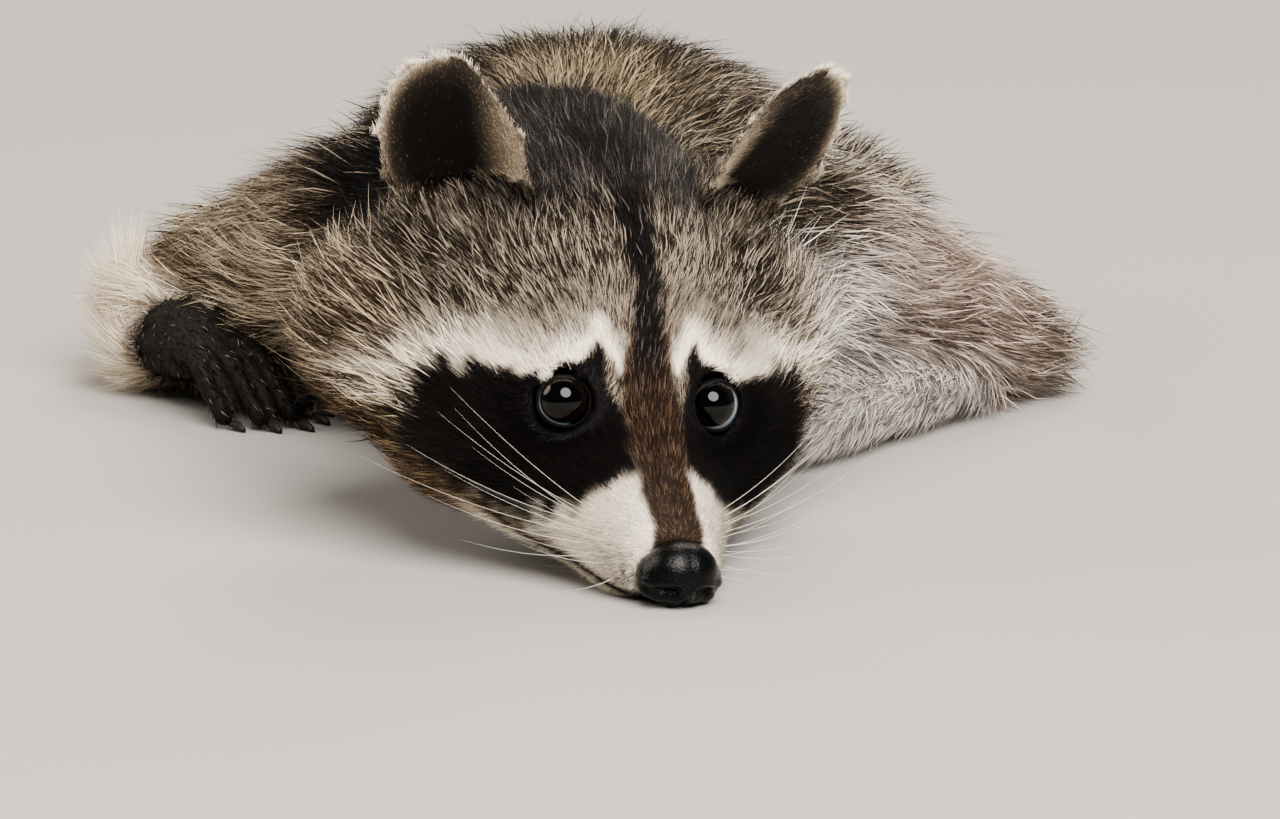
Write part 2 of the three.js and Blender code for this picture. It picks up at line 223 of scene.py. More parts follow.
floorLook = {"radius": 12.0, "colour": "#9d9a95", "blotch": 333}  # m, and mm from one blotch to the next
lightList = [  # name, place, size, watts, colour
    ("key", (0.55, -1.7, 1.85), 2.1, 268, "#fffaf4"),
    ("fill", (-2.4, 0.35, 1.5), 1.6, 56, "#fff6ea"),
    ("rim", (0.4, 1.7, 2.1), 1.5, 92, "#fff6e6"),
]
worldLook = {"colour": "#d3dff0", "strength": 0.14}


def makeStage():
    shape = bmesh.new()
    bmesh.ops.create_circle(shape, cap_ends=True, segments=96, radius=floorLook["radius"])
    mesh = finishedMesh(shape, "floor")
    material, tree = newMaterial("paintedFloor")  # matt emulsion: soft, even, no shine
    _, tone = mottle(tree, floorLook["blotch"], 0.97, 1.03, 4.0)
    colour = addNode(tree, "VectorMath", {"operation": "SCALE"}, {
        0: tuple(hexColour(floorLook["colour"])), "Scale": tone})
    shader = addNode(tree, "BsdfPrincipled", inputs={"Base Color": colour, "Roughness": 0.9})
    addNode(tree, "OutputMaterial", inputs={"Surface": shader})
    mesh.materials.append(material)
    floor = placeObject("floor", mesh)
    middle = Vector(eyeMiddle) + Vector((0, 0.12, 0))
    for name, place, size, watts, colour in lightList:
        lamp = bpy.data.lights.new(name, "AREA")
        lamp.shape = "DISK"
        lamp.size = size
        lamp.energy = watts
        lamp.color = hexColour(colour)
        holder = placeObject(name, lamp)
        holder.location = middle + Vector(place)
        holder.rotation_euler = (-Vector(place)).to_track_quat("-Z", "Y").to_euler()
    world = bpy.data.worlds.new("studio")
    world.use_nodes = True
    sky = world.node_tree.nodes["Background"]
    sky.inputs["Color"].default_value = rgba(worldLook["colour"])
    sky.inputs["Strength"].default_value = worldLook["strength"]
    bpy.context.scene.world = world


makeCamera()
makeStage()
print("camera, floor and light are set")


# the coat's plan: for each part of the body its length, depth, lift and lie
# length and depth in mm, lift in degrees; lie is where the hair points
bodyCoat = {
    "neck": {"length": 24, "depth": 8, "lift": 22, "lie": (0, 1, -0.15)},
    "chest": {"length": 31, "depth": 11, "lift": 22, "lie": (0, 1, -0.25)},
    "belly": {"length": 34, "depth": 12, "lift": 22, "lie": (0, 1, -0.3)},
    "rump": {"length": 36, "depth": 12, "lift": 22, "lie": (0, 1, -0.35)},
    "upper_arm": {"length": 27, "depth": 9, "lift": 20, "lie": (0.72, 0.45, -0.5)},
    "forearm": {"length": 15, "depth": 3.5, "lift": 16, "lie": (0.3, -0.8, -0.3)},
    "hand": {"length": 5, "depth": 0.5, "lift": 14, "lie": (0.5, -0.7, -0.3)},
    "thigh": {"length": 27, "depth": 9, "lift": 20, "lie": (0.3, 0.6, -0.6)},
    "shank": {"length": 13, "depth": 3, "lift": 16, "lie": (0.1, 0.9, -0.35)},
    "foot": {"length": 7, "depth": 1.2, "lift": 15, "lie": (0.1, -1, 0)},
    "tail": {"length": 36, "depth": 11, "lift": 24, "lie": (0, 1, 0)},
    "ear": {"length": 3.3, "depth": 0.8, "lift": 9, "lie": (0, 0, 1)},
    "head": {"length": 10, "depth": 4, "lift": 18, "lie": (0, 1, 0)},
}
ownLie = {  # limbs whose hair points otherwise than the rest
    "hand_l": (-0.62, -0.78, -0.1), "forearm_l": (-0.55, -0.8, -0.1), "forearm_r": (-0.72, 0.3, 0.4),
    "upper_arm_r": (-0.86, 0.3, 0.12), "upper_arm_l": (0.86, 0.3, -0.2),
}
wristFringe = {"lift": 24, "along": [-74, -58], "length": [8, 30]}  # short on the wrist, long behind it
headReach = [0, 14, 38, 68, 92, 122, 170]  # mm from the nose tip
headLength = [1.8, 3, 4.6, 6.5, 10.5, 21, 31]  # mm of hair there
noseTip = np.array((0.0, -64.0, -21.0))
skinShape = {
    "voxel": 2.5, "smoothing": 9, "thinSmoothing": 2, "regain": 10, "faceSmoothing": 3, "sinkRounds": 4,
    "planRounds": 14,  # how far the coat's plan is evened out from part to part
    "pawDepth": 0.3, "pawReach": 4.0,  # mm under a paw's surface, and mm that its skin may move there
}
fleshNodes = [n for n in nodes if not n.startswith(("claw", "eye", "nose"))]


def baseName(node):  # "upper_arm_l" to "upper_arm", "tail_2" to "tail"
    return node.rstrip("0123456789").rstrip("_").removesuffix("_r").removesuffix("_l")


def evenSurface(mesh, voxel):  # what overlaps becomes one closed surface of even faces
    rough = placeObject("rough", mesh)
    remesh = rough.modifiers.new("remesh", "REMESH")
    remesh.mode = "VOXEL"
    remesh.voxel_size = voxel * mm
    made = bpy.data.meshes.new_from_object(rough.evaluated_get(bpy.context.evaluated_depsgraph_get()))
    bpy.data.objects.remove(rough)
    return made


def closedCopy(names, voxel):  # CAD nodes as one closed, even surface
    shape = bmesh.new()
    for name in names:
        shape.from_mesh(nodes[name].data)
    bmesh.ops.remove_doubles(shape, verts=shape.verts, dist=1e-6)
    return evenSurface(finishedMesh(shape, "joined"), voxel)


def nearestNodes(points):  # for each point the flesh node that it lies on
    corners, faces, owners = [], [], []
    for name in fleshNodes:
        mesh = nodes[name].data
        base = len(corners)
        corners += [v.co for v in mesh.vertices]
        for polygon in mesh.polygons:
            faces.append([base + i for i in polygon.vertices])
            owners.append(name)
    tree = BVHTree.FromPolygons(corners, faces)
    return np.array([owners[tree.find_nearest(Vector(p))[2]] for p in points])


def relax(values, edges, rounds):  # evens values out over the mesh
    size = len(values)
    flat = values.reshape(size, -1)
    ends = np.r_[edges[:, 0], edges[:, 1]]
    others = np.r_[edges[:, 1], edges[:, 0]]
    count = np.maximum(np.bincount(ends, minlength=size), 1)
    for _ in range(rounds):
        around = np.stack([np.bincount(ends, column[others], size) for column in flat.T], 1)
        flat = flat * 0.4 + around / count[:, None] * 0.6
    return flat.reshape(values.shape)


def coatPlan(points, owners):  # columns: length, depth, lift, lie x y z
    rows = {name: baseName(name) for name in fleshNodes}
    plan = np.empty((len(points), 6))
    for name in fleshNodes:
        here = owners == name
        look = bodyCoat.get(rows[name], bodyCoat["head"])
        lie = np.array(ownLie.get(name, look["lie"]), float)
        if name.endswith("_r") and rows[name] in ("thigh", "shank", "foot"):
            lie[0] *= -1
        if rows[name] == "ear":
            lie = headAxes @ earAxes(name[-1])[1]
        plan[here] = [look["length"], look["depth"], look["lift"], *unit(lie)]
        if name == "forearm_r":
            along = toBody(points[here])[:, 1]
            plan[here, 0] = np.interp(along, wristFringe["along"], wristFringe["length"])
            plan[here, 2] = wristFringe["lift"]
        if rows[name] in ("neck", "chest", "belly"):  # the coat falls to both sides of the spine
            aside = toBody(points[here])[:, 0] / 60
            plan[here, 3:] = unit(lie + np.c_[np.clip(aside, -1.2, 1.2), np.zeros((here.sum(), 2))])
    local = toHead(points)
    face = np.isin(owners, ("head", "jaw"))
    far = np.linalg.norm(local - noseTip, axis=1)
    length = np.interp(far, headReach, headLength) * (1 + 0.3 * step(local[:, 0], 48, 70))
    forehead = step(local[:, 2], 4, 18) * step(np.abs(local[:, 0]), 68, 50)
    length *= 1 - 0.36 * forehead
    plan[face, 0] = length[face]
    plan[face, 2] = np.interp(far, [0, 60, 130], [11, 15, 24])[face]
    plan[face, 1] = length[face] * np.sin(np.radians(plan[face, 2]))
    away = unit(local - noseTip + np.array((0, -14, 0)))
    plan[face, 3:] = (away @ headAxes.T)[face]
    return plan


# the markings, and the painted shade on the nape and in the body's streaks, the same for skin and coat
coatColours = {
    "black": "#060404", "maskHair": "#130d0a", "bareSkin": "#070504", "earHollow": "#060404",
    "bridge": "#21160f", "bridgePale": "#6b5441", "stripe": "#0e0a08", "dark": "#1c140f",
    "grizzle": "#9d8e7c", "crownPale": "#625a57", "crownDark": "#0f0c0b",
    "cream": "#f3e4cc", "white": "#faeedb", "ruffPale": "#c7b497", "ruffDark": "#2b1e14",
    "gold": "#a88c68", "silver": "#e6ddd6", "taupe": "#d4beb0", "taupeDark": "#4d3e34",
    "brown": "#a39078", "hair": "#5a5048",
    "tan": "#9d8b6e", "bodyPale": "#8e7f6b", "bodyDark": "#17110c",
    "legPale": "#584b3e", "legDark": "#0d0a08", "footPale": "#857866", "earHair": "#5e5042",
    "tailPale": "#8e7f69", "tailDark": "#17110d",
}
tones = {name: hexColour(code) for name, code in coatColours.items()}
maskTop = [(0, 12), (9, 8), (12, 12), (15, 13.5), (18, 11), (22, 8), (26, 6), (33, 3), (40, 1), (45, -2),
           (56, -7), (67, -16), (76, -26)]  # height of the mask's upper edge, by distance from the middle
tailRings = {"count": 6, "darkShare": 0.42, "tip": 0.86}


class Tint:  # share of pale hairs, with the colours of the pale and of the dark ones
    def __init__(self, count, share=0.5, pale="grizzle", dark="dark"):
        self.share = np.full(count, share)
        self.pale = np.tile(tones[pale], (count, 1))
        self.dark = np.tile(tones[dark], (count, 1))

    def lay(self, where, share, pale=None, dark=None):  # where is 0 to 1 at each point
        self.share += (share - self.share) * where
        if pale:
            self.pale += (tones[pale] - self.pale) * where[:, None]
        if dark:
            self.dark += (tones[dark] - self.dark) * where[:, None]

    def blend(self, other, where):  # where is the share of the other
        self.share += (other.share - self.share) * where
        self.pale += (other.pale - self.pale) * where[:, None]
        self.dark += (other.dark - self.dark) * where[:, None]


def faceTint(local):
    x, y, z = local.T
    a = np.abs(x)
    ragged = waves(local, 9, 3) * 1.3
    top = np.interp(a, *zip(*maskTop)) + ragged * 0.7
    over = z - top
    tint = Tint(len(local))
    tint.lay(step(y, 16, 40), 0.38, "grizzle", "dark")
    tint.lay(step(y, 34, 54) * step(a, 46, 24) * step(z, 20, 32), 0.16, "crownPale", "crownDark")
    ruff = step(a, 54, 68) * step(z, 20, 4)
    tint.lay(ruff, 0.26, "ruffPale", "ruffDark")
    tint.lay(step(x, 56, 74) * step(z, 34, 10) * step(y, 8, 30), 0.66, "silver", "taupeDark")
    tint.lay(step(z + ragged, -20, -32) * step(y, -30, -10), 0.2, "gold", "ruffDark")
    tint.lay(step(y, 58, 70) * step(z, -8, 4) * step(a, 50, 60), 0.04, None, "black")
    temple = np.exp(-((a - 58) / 10) ** 2 - ((y - 44) / 14) ** 2 - ((z - 12) / 9) ** 2)
    tint.lay(temple * 0.7, 0.12, None, "dark")
    brow = step(over + 1.4 * ragged, 9.5, 2) * step(over, -2, 0) * step(a + ragged, 3.5, 8)
    tint.lay(brow * step(y, 54, 30) * step(y, -24, -14), 0.97, "white", "grizzle")
    outer = step(a, 54, 60) * step(a, 80, 68) * step(over, -15, -5) * step(over, 6, -4)
    tint.lay(outer * 0.75, 0.84, "cream", "ruffDark")
    sideWhite = step(y + ragged - np.maximum(a - 22, 0), -26, -31) * step(y, 20, 0)
    tint.lay(sideWhite, 0.97, "white", "grizzle")
    pad = np.exp(-((y + 52) / 9) ** 2 - ((z + 28) / 6) ** 2) * step(a, 4, 8)
    tint.lay(pad * (0.7 + 0.3 * waves(local, 3.5, 9)), 0.45, "white", "dark")
    tint.lay(step(z, -36, -39) * step(y, 8, -10), 0.85, "cream", "grizzle")
    innerEdge = 7.5 + 5 * step(z, -3, 6)
    lowEdge = -29.5 + np.maximum(a - 22, 0) * 0.9 + ragged
    mask = step(top - z, -0.8, 1.6) * step(y, lowEdge - 2, lowEdge + 2)
    mask *= step(a, innerEdge - 1, innerEdge + 1.5) * step(a + ragged, 65, 57)
    mask *= step(z + ragged - 0.05 * (a - 30), -36, -31)
    tint.lay(mask, 0.16, "maskHair", "black")
    tint.lay(mask * step(a + ragged, 44, 64), 0.22, "bridge", "black")
    halfBridge = np.interp(y, [-60, -41, -10, 10], [6.6, 7.2, 8.4, 6.4])
    bridge = step(a + ragged * 0.5, halfBridge + 1.8, halfBridge - 1.2) * step(z, -24, -18) * step(y, 12, 4)
    tint.lay(bridge, 0.18, "bridgePale", "bridge")
    halfStripe = np.interp(y, [0, 20, 45, 75, 100], [4.2, 4.2, 5.2, 8, 12])
    stripe = step(a + ragged * 0.6, halfStripe + 1.8, halfStripe - 1.2) * step(y, -8, 4) * step(z, 0, 7)
    tint.lay(stripe, 0.06, "crownPale", "stripe")
    tint.lay(step(y + ragged, 66, 88) * step(z, 10, 24) * 0.8, 0.14, "crownPale", "crownDark")
    lip = np.exp(-((z - lipHeight(y)) / 1.9) ** 2) * step(y, -4, -12) * step(y, -62, -58)
    tint.lay(np.minimum(lip * 1.6, 1), 0.0, "black", "black")
    return tint


def lipHeight(y):  # the mouth line runs back from under the nose and turns up at its corner
    return -33.3 - (np.minimum(y, -16) + 57) * 0.17 + 3 * step(y, -20, -5)


earShape = {
    "root": (42, 62, 18), "tip": (61, 60, 79),
    "height": 63, "width": 50, "sunk": 14, "turn": 24, "trim": 0.42,
}


def earAxes(side):  # root, up, across and face of an ear in the head's frame
    flip = np.array((1.0 if side == "l" else -1.0, 1, 1))
    root, tip = np.array(earShape["root"], float), np.array(earShape["tip"], float)
    up = unit(tip - root)
    turn = math.radians(earShape["turn"])
    face = np.array((math.sin(turn), -math.cos(turn), 0))
    face = unit(face - up * (face @ up))
    across = -np.cross(up, face)
    return root * flip, up * flip, across * flip, face * flip


# across -1 to 1 with the inner edge positive, along 0 at the root to 1, near 1 at the rim, and ahead
def earPlace(local, side):
    root, up, across, face = earAxes(side)
    tall = (earShape["height"] + earShape["sunk"]) / 2
    high = (local - root) @ up
    wide = (local - root) @ across / (earShape["width"] / 2)
    leaf = (high + earShape["sunk"]) / tall - 1
    if side == "r":  # its inner edge slopes more
        wide = np.where(wide > 0, wide / (1 - earShape["trim"] * step(leaf, -0.1, 0.8)), wide)
    return wide, high / earShape["height"], np.hypot(wide, leaf), (local - root) @ face


def earTint(local, side, normals):
    wide, high, rim, _ = earPlace(local, side)
    face = earAxes(side)[3]
    front = step(normals @ face, -0.15, 0.2)
    tint = Tint(len(local), 0.35, "bodyPale", "bodyDark")
    tint.lay((1 - front) * step(high, 0.55, 0.9), 0.7, "cream", "dark")
    tint.lay(front, 0.4, "earHair", "earHollow")
    tint.lay(front * step(rim, 0.9, 0.55), 0.02, "earHair", "earHollow")
    inner = front * step(wide, 0.15, 0.8) * step(high, 0.85, 0.45) * step(high, -0.04, 0.1)
    tint.lay(inner, 0.8, "ruffPale", "earHair")
    tint.lay(front * step(high, 0.2, 0.05) * step(np.abs(wide), 0.35, 0.6), 0.35, "grizzle", "dark")
    tint.lay(front * step(rim, 0.74, 0.9) * step(wide, 0.1, -0.4), 0.6, "ruffPale", "earHair")
    tint.lay(step(rim + 0.07 * (wide < 0), 0.91, 0.98) * step(high, 0.22, 0.45), 0.95, "cream", "grizzle")
    return tint


def bodyTint(points):
    place = toBody(points)
    x, y, z = place.T
    wander = waves(place, 60, 13)
    tint = Tint(len(points), 0.4, "bodyPale", "bodyDark")
    tint.lay(step(z, 110, 70), 0.5, "grizzle", "bodyDark")
    dorsal = step(np.abs(x), 88, 72) * step(z, 74, 94) * step(y, 60, -20)
    tint.lay(dorsal * 0.85, 0.16, "grizzle", "bodyDark")
    spine = np.exp(-((x - 6 + 4 * wander) / 38) ** 2) * step(y, -205, -180) * step(y, -84, -104)
    tint.lay(spine * step(z, 80, 100), 0.5, "tan", "dark")
    leftSide = step(x + 6 * wander, 44, 66) * step(y + 14 * wander, -24, -96) * step(z, 108, 80)
    shadeStreaks = waves(place * (0.6, 1, 1.6), 28, 17)
    tint.lay(leftSide, 0.8, "silver", "taupeDark")
    leftBack = step(x + 8 * wander, 84, 112) * step(y + 14 * wander, -4, -76)
    tint.lay(leftBack, 0.76, "taupe", "taupeDark")
    # painted shade: dark streaks in the silver and taupe hair, where the locks shade each other
    tint.share -= 0.5 * np.maximum(leftSide, leftBack) * step(shadeStreaks, 0.3, 1.2)
    leftTop = step(x, 40, 56) * step(x + 0.8 * (130 - z), 112, 84) * step(z, 84, 104) * step(y, 0, -60)
    tint.lay(leftTop, 0.3, "taupe", "bodyDark")
    rightArm = step(x, -60, -84) * step(z, 92, 70) * step(y, 10, -30)
    tint.lay(rightArm, 0.34, "brown", "ruffDark")
    tint.lay(rightArm * step(z, 84, 60), 0.45, "ruffPale", "ruffDark")
    rightLow = rightArm * step(x + 4 * wander, -132, -146) * step(z, 72, 54)
    tint.lay(rightLow, 0.9, "cream", "taupe")
    # painted shadow behind the head, on the shoulders below the ears: black on the right, darker brown on
    # the left
    shadedNape = step(np.abs(x), 26, 48) * step(np.abs(x), 98, 80) * step(y, -100, -130) * step(z, 58, 76)
    tint.lay(shadedNape * step(x, 20, -20), 0.04, "bodyPale", "black")
    tint.lay(shadedNape * step(x, -20, 20), 0.26, "bodyPale", "bodyDark")
    tint.lay(step(z, 26, 10) * 0.5 * (1 - leftSide), 0.66, "bodyPale", "legPale")
    tint.share = np.clip(tint.share + waves(place, 70, 11) * 0.07, 0.02, 0.98)
    return tint


def armTint(points):  # the right forearm: a pale fringe behind, black towards the hand
    x, y, _ = toBody(points).T
    tint = Tint(len(points), 0.06, "hair", "black")
    tint.lay(step(y, -40, -24) * step(x, 0, -40), 0.5, "bodyPale", "bodyDark")
    behind = step(x + 0.7 * (y + 50), -106, -134) * step(y, -78, -68) * step(y, 16, -34)
    tint.lay(behind, 0.84, "cream", "brown")
    tint.lay(step(x, 40, 70), 0.7, "silver", "taupeDark")
    tint.lay(step(y, 0, 20), 0.25, "legPale", "legDark")
    return tint


def tailTint(points):
    root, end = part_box("tail_1")[0].y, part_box("tail_3")[1].y
    along = (points[:, 1] - root) / (end - root) + waves(points / mm, 24, 5) * 0.008
    tint = Tint(len(points), 0.62, "tailPale", "bodyDark")
    aside = np.abs(along * tailRings["count"] % 1 - 0.5) - tailRings["darkShare"] / 2
    tip = step(along, tailRings["tip"] - 0.02, tailRings["tip"] + 0.02)
    tint.lay(np.maximum(step(aside, 0.06, -0.06), tip), 0.05, None, "tailDark")
    return tint


def markingsAndShade(points, normals, weights):  # weights: head, ears, tail, legs and paws at each point
    local, turned = toHead(points), normals @ headAxes
    tint = bodyTint(points)
    tint.blend(armTint(points), weights["leg"])
    tint.blend(Tint(len(points), 0.05, "footPale", "bareSkin"), weights["hand"])
    tint.blend(Tint(len(points), 0.55, "footPale", "legDark"), weights["foot"])
    tint.blend(tailTint(points), weights["tail"])
    tint.blend(faceTint(local), weights["head"])
    for side in "rl":
        tint.blend(earTint(local, side, turned), weights["ear_" + side])
    return tint


# the skin
eyeLook = {
    "radius": 8.0, "bulge": 0.5,
    "outward": 12.0, "upward": 30.0,  # degrees that the opening is turned from straight ahead
    "halfWide": 7.45, "halfTall": 6.6, "tilt": 5.0,  # the opening between the lids
    "reach": 16.0,  # how far out from the opening's middle the face is shaped for it
    "bare": 0.7, "parting": 6.0,  # no hair this near the opening's edge, and how far the hair parts
    "gaze": (-0.30, -0.72, 0.62),  # where both look, in the head's frame
    # white: the pale blue-grey rim along the lower lid, partly the eye's white, partly painted reflection of
    # the wet lid
    "white": "#6f7d8c", "threads": 0.33,  # mm from one thread of the iris to the next
}


def eyeFrame(side):  # centre in the head's frame, then across (outward), up and ahead
    flip = 1.0 if side == "l" else -1.0
    out, lift = math.radians(eyeLook["outward"]), math.radians(eyeLook["upward"])
    level = math.cos(lift)
    ahead = np.array((math.sin(out) * level * flip, -math.cos(out) * level, math.sin(lift)))
    across = unit(np.cross(ahead, np.array((0, 0, 1.0))) * -flip)
    up = unit(np.cross(ahead, across) * flip)
    if up[2] < 0:
        up = -up
    return toHead(eyeCentres[side]), across, up, ahead


def openingRadius(angle):  # the almond between the lids; angle 0 points outward, a quarter turn up
    tilt = math.radians(eyeLook["tilt"])
    c, s = np.cos(angle - tilt), np.sin(angle - tilt)
    wide, tall = eyeLook["halfWide"], eyeLook["halfTall"]
    return (np.abs(c / wide) ** 2.2 + np.abs(s / tall) ** 2.2) ** (-1 / 2.2)


def roundEye(local, side):  # from the eyeball's centre; level is ahead, past is aside beyond the opening
    centre, across, up, ahead = eyeFrame(side)
    away = local - centre
    level = away @ ahead
    aside = away - level[:, None] * ahead
    past = np.linalg.norm(aside, axis=1) - openingRadius(np.arctan2(away @ up, away @ across))
    return away, level, aside, past


def nearFace(local, reach):
    return (np.linalg.norm(local - noseTip, axis=1) < reach) & (np.abs(local[:, 0]) < 74)


def inBoxes(points, names, margin):
    found = np.zeros(len(points), bool)
    for name in names:
        low, high = (np.array(corner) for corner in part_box(name))
        found |= ((points > low - margin * mm) & (points < high + margin * mm)).all(1)
    return found


def smooth(shape, verts, rounds):
    for _ in range(rounds):
        bmesh.ops.smooth_vert(
            shape, verts=verts, factor=0.5, use_axis_x=True, use_axis_y=True, use_axis_z=True)


def vertPlaces(shape):
    return np.array([v.co for v in shape.verts])


def edgeEnds(shape):
    return np.array([(e.verts[0].index, e.verts[1].index) for e in shape.edges])


def cutFiner(shape, pick):
    shape.verts.ensure_lookup_table()
    chosen = pick(vertPlaces(shape))
    edges = [e for e in shape.edges if chosen[e.verts[0].index] and chosen[e.verts[1].index]]
    bmesh.ops.subdivide_edges(shape, edges=edges, cuts=1, use_grid_fill=True)
    shape.verts.index_update()
    chosen = pick(vertPlaces(shape))
    near = [v for v, use in zip(shape.verts, chosen) if use]
    smooth(shape, near, skinShape["faceSmoothing"])


def onEars(local):
    found = np.zeros(len(local), bool)
    for side in "rl":
        _, high, rim, ahead = earPlace(local, side)
        found |= (rim < 1.3) & (high > 0.12) & (np.abs(ahead) < 16)
    return found


def nearEyes(local):
    return np.minimum(*[np.linalg.norm(local - toHead(eyeCentres[side]), axis=1) for side in "rl"]) < 15


faceShape = {"earDip": 7.0, "mouthCorner": 1.2, "mouthSides": 0.07}  # mm, mm and share of the width


def sculptFace(points):  # the folds of the face, on the bare skin
    local = toHead(points)
    y, z = local[:, 1], local[:, 2]
    mouth = np.exp(-((z - lipHeight(y)) / 1.1) ** 2) * step(y, -3, -12) * step(y, -58, -52)
    local[:, 0] *= 1 - faceShape["mouthSides"] * mouth
    local[:, 1] += faceShape["mouthCorner"] * mouth * step(y, -36, -48)
    for flip in (-1, 1):  # the head drops in front of each ear, so that its hollow opens down to the root
        dip = np.exp(-((local[:, 0] - flip * 45) / 15) ** 2 - ((y - 46) / 11) ** 2 - ((z - 24) / 14) ** 2)
        local[:, 2] -= faceShape["earDip"] * dip
    for side in "rl":
        away, level, aside, past = roundEye(local, side)
        far = np.linalg.norm(away, axis=1)
        rise = np.exp(-((past - 2) / 3.0) ** 2) * (level > -3)
        moved = far + np.maximum(eyeLook["radius"] + 0.5 - far, 0) * rise  # lids stand proud of the eyeball
        inside = (past < 0.2) & (level > 0)
        moved = np.where(inside, np.minimum(moved, eyeLook["radius"] * 0.9), moved)
        moved = np.where(np.linalg.norm(aside, axis=1) < eyeLook["reach"], moved, far)
        local += unit(away) * (moved - far)[:, None]
    return fromHead(local)


def lidRing(shape, side):  # the lids as one soft rim, from the eyeball out under the fur
    centre, across, up, ahead = eyeFrame(side)
    radius = eyeLook["radius"]
    # radians out from the opening's edge, mm proud of the eyeball
    profile = [(-0.03, -0.3), (0.0, 0.35), (0.055, 0.72), (0.14, 0.78), (0.3, 0.3), (0.5, -1.6)]
    loops = []
    for wider, proud in profile:
        made = bmesh.ops.create_circle(shape, segments=56, radius=1.0)["verts"]
        for v in made:
            angle = math.atan2(v.co.y, v.co.x)
            lean = math.asin(min(float(openingRadius(angle)) / radius, 0.985)) + wider
            aside = across * math.cos(angle) + up * math.sin(angle)
            way = ahead * math.cos(lean) + aside * math.sin(lean)
            v.co = Vector(fromHead(centre + way * (radius + proud)))
        loops.append(list({e for v in made for e in v.link_edges}))
    for inner, outer in zip(loops, loops[1:] + loops[:1]):
        bmesh.ops.bridge_loops(shape, edges=inner + outer)


def ontoPaws(points, owners, paws):  # the thin digits lost most: they go back to where they belong
    for name in paws:
        base = nodes[name].data
        faces = [tuple(f.vertices) for f in base.polygons]
        tree = BVHTree.FromPolygons([v.co for v in base.vertices], faces)
        for number in np.flatnonzero(owners == name):
            place, normal, _, _ = tree.find_nearest(Vector(points[number]))
            back = place - normal * skinShape["pawDepth"] * mm - Vector(points[number])
            points[number] += np.array(back) * min(1, skinShape["pawReach"] * mm / max(back.length, 1e-6))
    return points


def buildSkin():
    mesh = closedCopy(fleshNodes, skinShape["voxel"])
    shape = bmesh.new()
    shape.from_mesh(mesh)
    rough = readPoints(mesh)
    paws = [n for n in fleshNodes if n.startswith(("hand", "foot"))]
    thin = onEars(toHead(rough)) | inBoxes(rough, paws, 1)
    shape.verts.ensure_lookup_table()
    thick = [v for v, small in zip(shape.verts, thin) if not small]
    smooth(shape, shape.verts, skinShape["thinSmoothing"])
    smooth(shape, thick, skinShape["smoothing"] - skinShape["thinSmoothing"])
    lost = relax(rough - vertPlaces(shape), edgeEnds(shape), skinShape["regain"])
    for v, back in zip(shape.verts, lost):  # smoothing shrinks the form: its broad part is given back
        v.co += Vector(back)
    cutFiner(shape, lambda points: nearFace(toHead(points), 92) | inBoxes(points, paws, 2))
    cutFiner(shape, lambda points: onEars(toHead(points)))  # so that the rims are smooth
    cutFiner(shape, lambda points: nearEyes(toHead(points)))
    bmesh.ops.triangulate(shape, faces=shape.faces)
    shape.to_mesh(mesh)
    points = readPoints(mesh)
    owners = nearestNodes(points)
    edges = edgeEnds(shape)
    shape.free()
    plan = relax(coatPlan(points, owners), edges, skinShape["planRounds"])
    for _ in range(skinShape["sinkRounds"]):  # in small steps, so that the folds stay open
        sink = relax(readNormals(mesh), edges, 2) * plan[:, 1:2] * mm / skinShape["sinkRounds"]
        writePoints(mesh, readPoints(mesh) - sink)
    writePoints(mesh, sculptFace(ontoPaws(readPoints(mesh), owners, paws)))
    kinds = np.array([baseName(n) for n in owners])
    weights = {
        "head": np.isin(kinds, ("head", "jaw")), "tail": kinds == "tail",
        "leg": np.isin(kinds, ("forearm", "shank")), "foot": kinds == "foot", "hand": kinds == "hand",
        "ear_r": owners == "ear_r", "ear_l": owners == "ear_l",
    }
    weights = {name: relax(here.astype(float), edges, 3) for name, here in weights.items()}
    return mesh, plan, weights


skinMesh, plan, weights = buildSkin()
skinPoints, skinNormals = readPoints(skinMesh), readNormals(skinMesh)
skinTint = markingsAndShade(skinPoints, skinNormals, weights)
print("skin:", len(skinMesh.vertices), "points", len(skinMesh.polygons), "faces")


skinLook = {
    "roughness": 0.62, "pores": 1.11, "poreDepth": 0.6,  # mm
    "shadeUnderFur": 0.45,  # painted shade: how bright the skin's colour is kept between the tufts, where the coat shades it
}


def skinColours():
    colours = mix(skinTint.dark, skinTint.pale, np.clip(skinTint.share, 0, 1))
    # painted shade: the skin is darkened between the tufts, less under white hair
    shadeFactor = np.full(len(colours), skinLook["shadeUnderFur"])
    shadeFactor += (1 - shadeFactor) * step(skinTint.share, 0.8, 0.97) * 0.7
    return colours * shadeFactor[:, None]


def skinMaterial():
    material, tree = newMaterial("hideUnderFur")  # matt living skin with fine down on it
    colour = addNode(tree, "Attribute", {"attribute_name": "markingsAndShade"})
    grain, tone = mottle(tree, skinLook["pores"], 0.7, 1.3, 3.0)
    mixed = addNode(tree, "VectorMath", {"operation": "SCALE"}, {0: colour.outputs["Color"], "Scale": tone})
    bump = addNode(tree, "Bump", inputs={
        "Height": grain, "Strength": 0.5, "Distance": skinLook["poreDepth"] * mm})
    shader = addNode(tree, "BsdfPrincipled", inputs={
        "Base Color": mixed, "Roughness": skinLook["roughness"], "Specular IOR Level": 0.1, "Normal": bump})
    addNode(tree, "OutputMaterial", inputs={"Surface": shader})
    return material


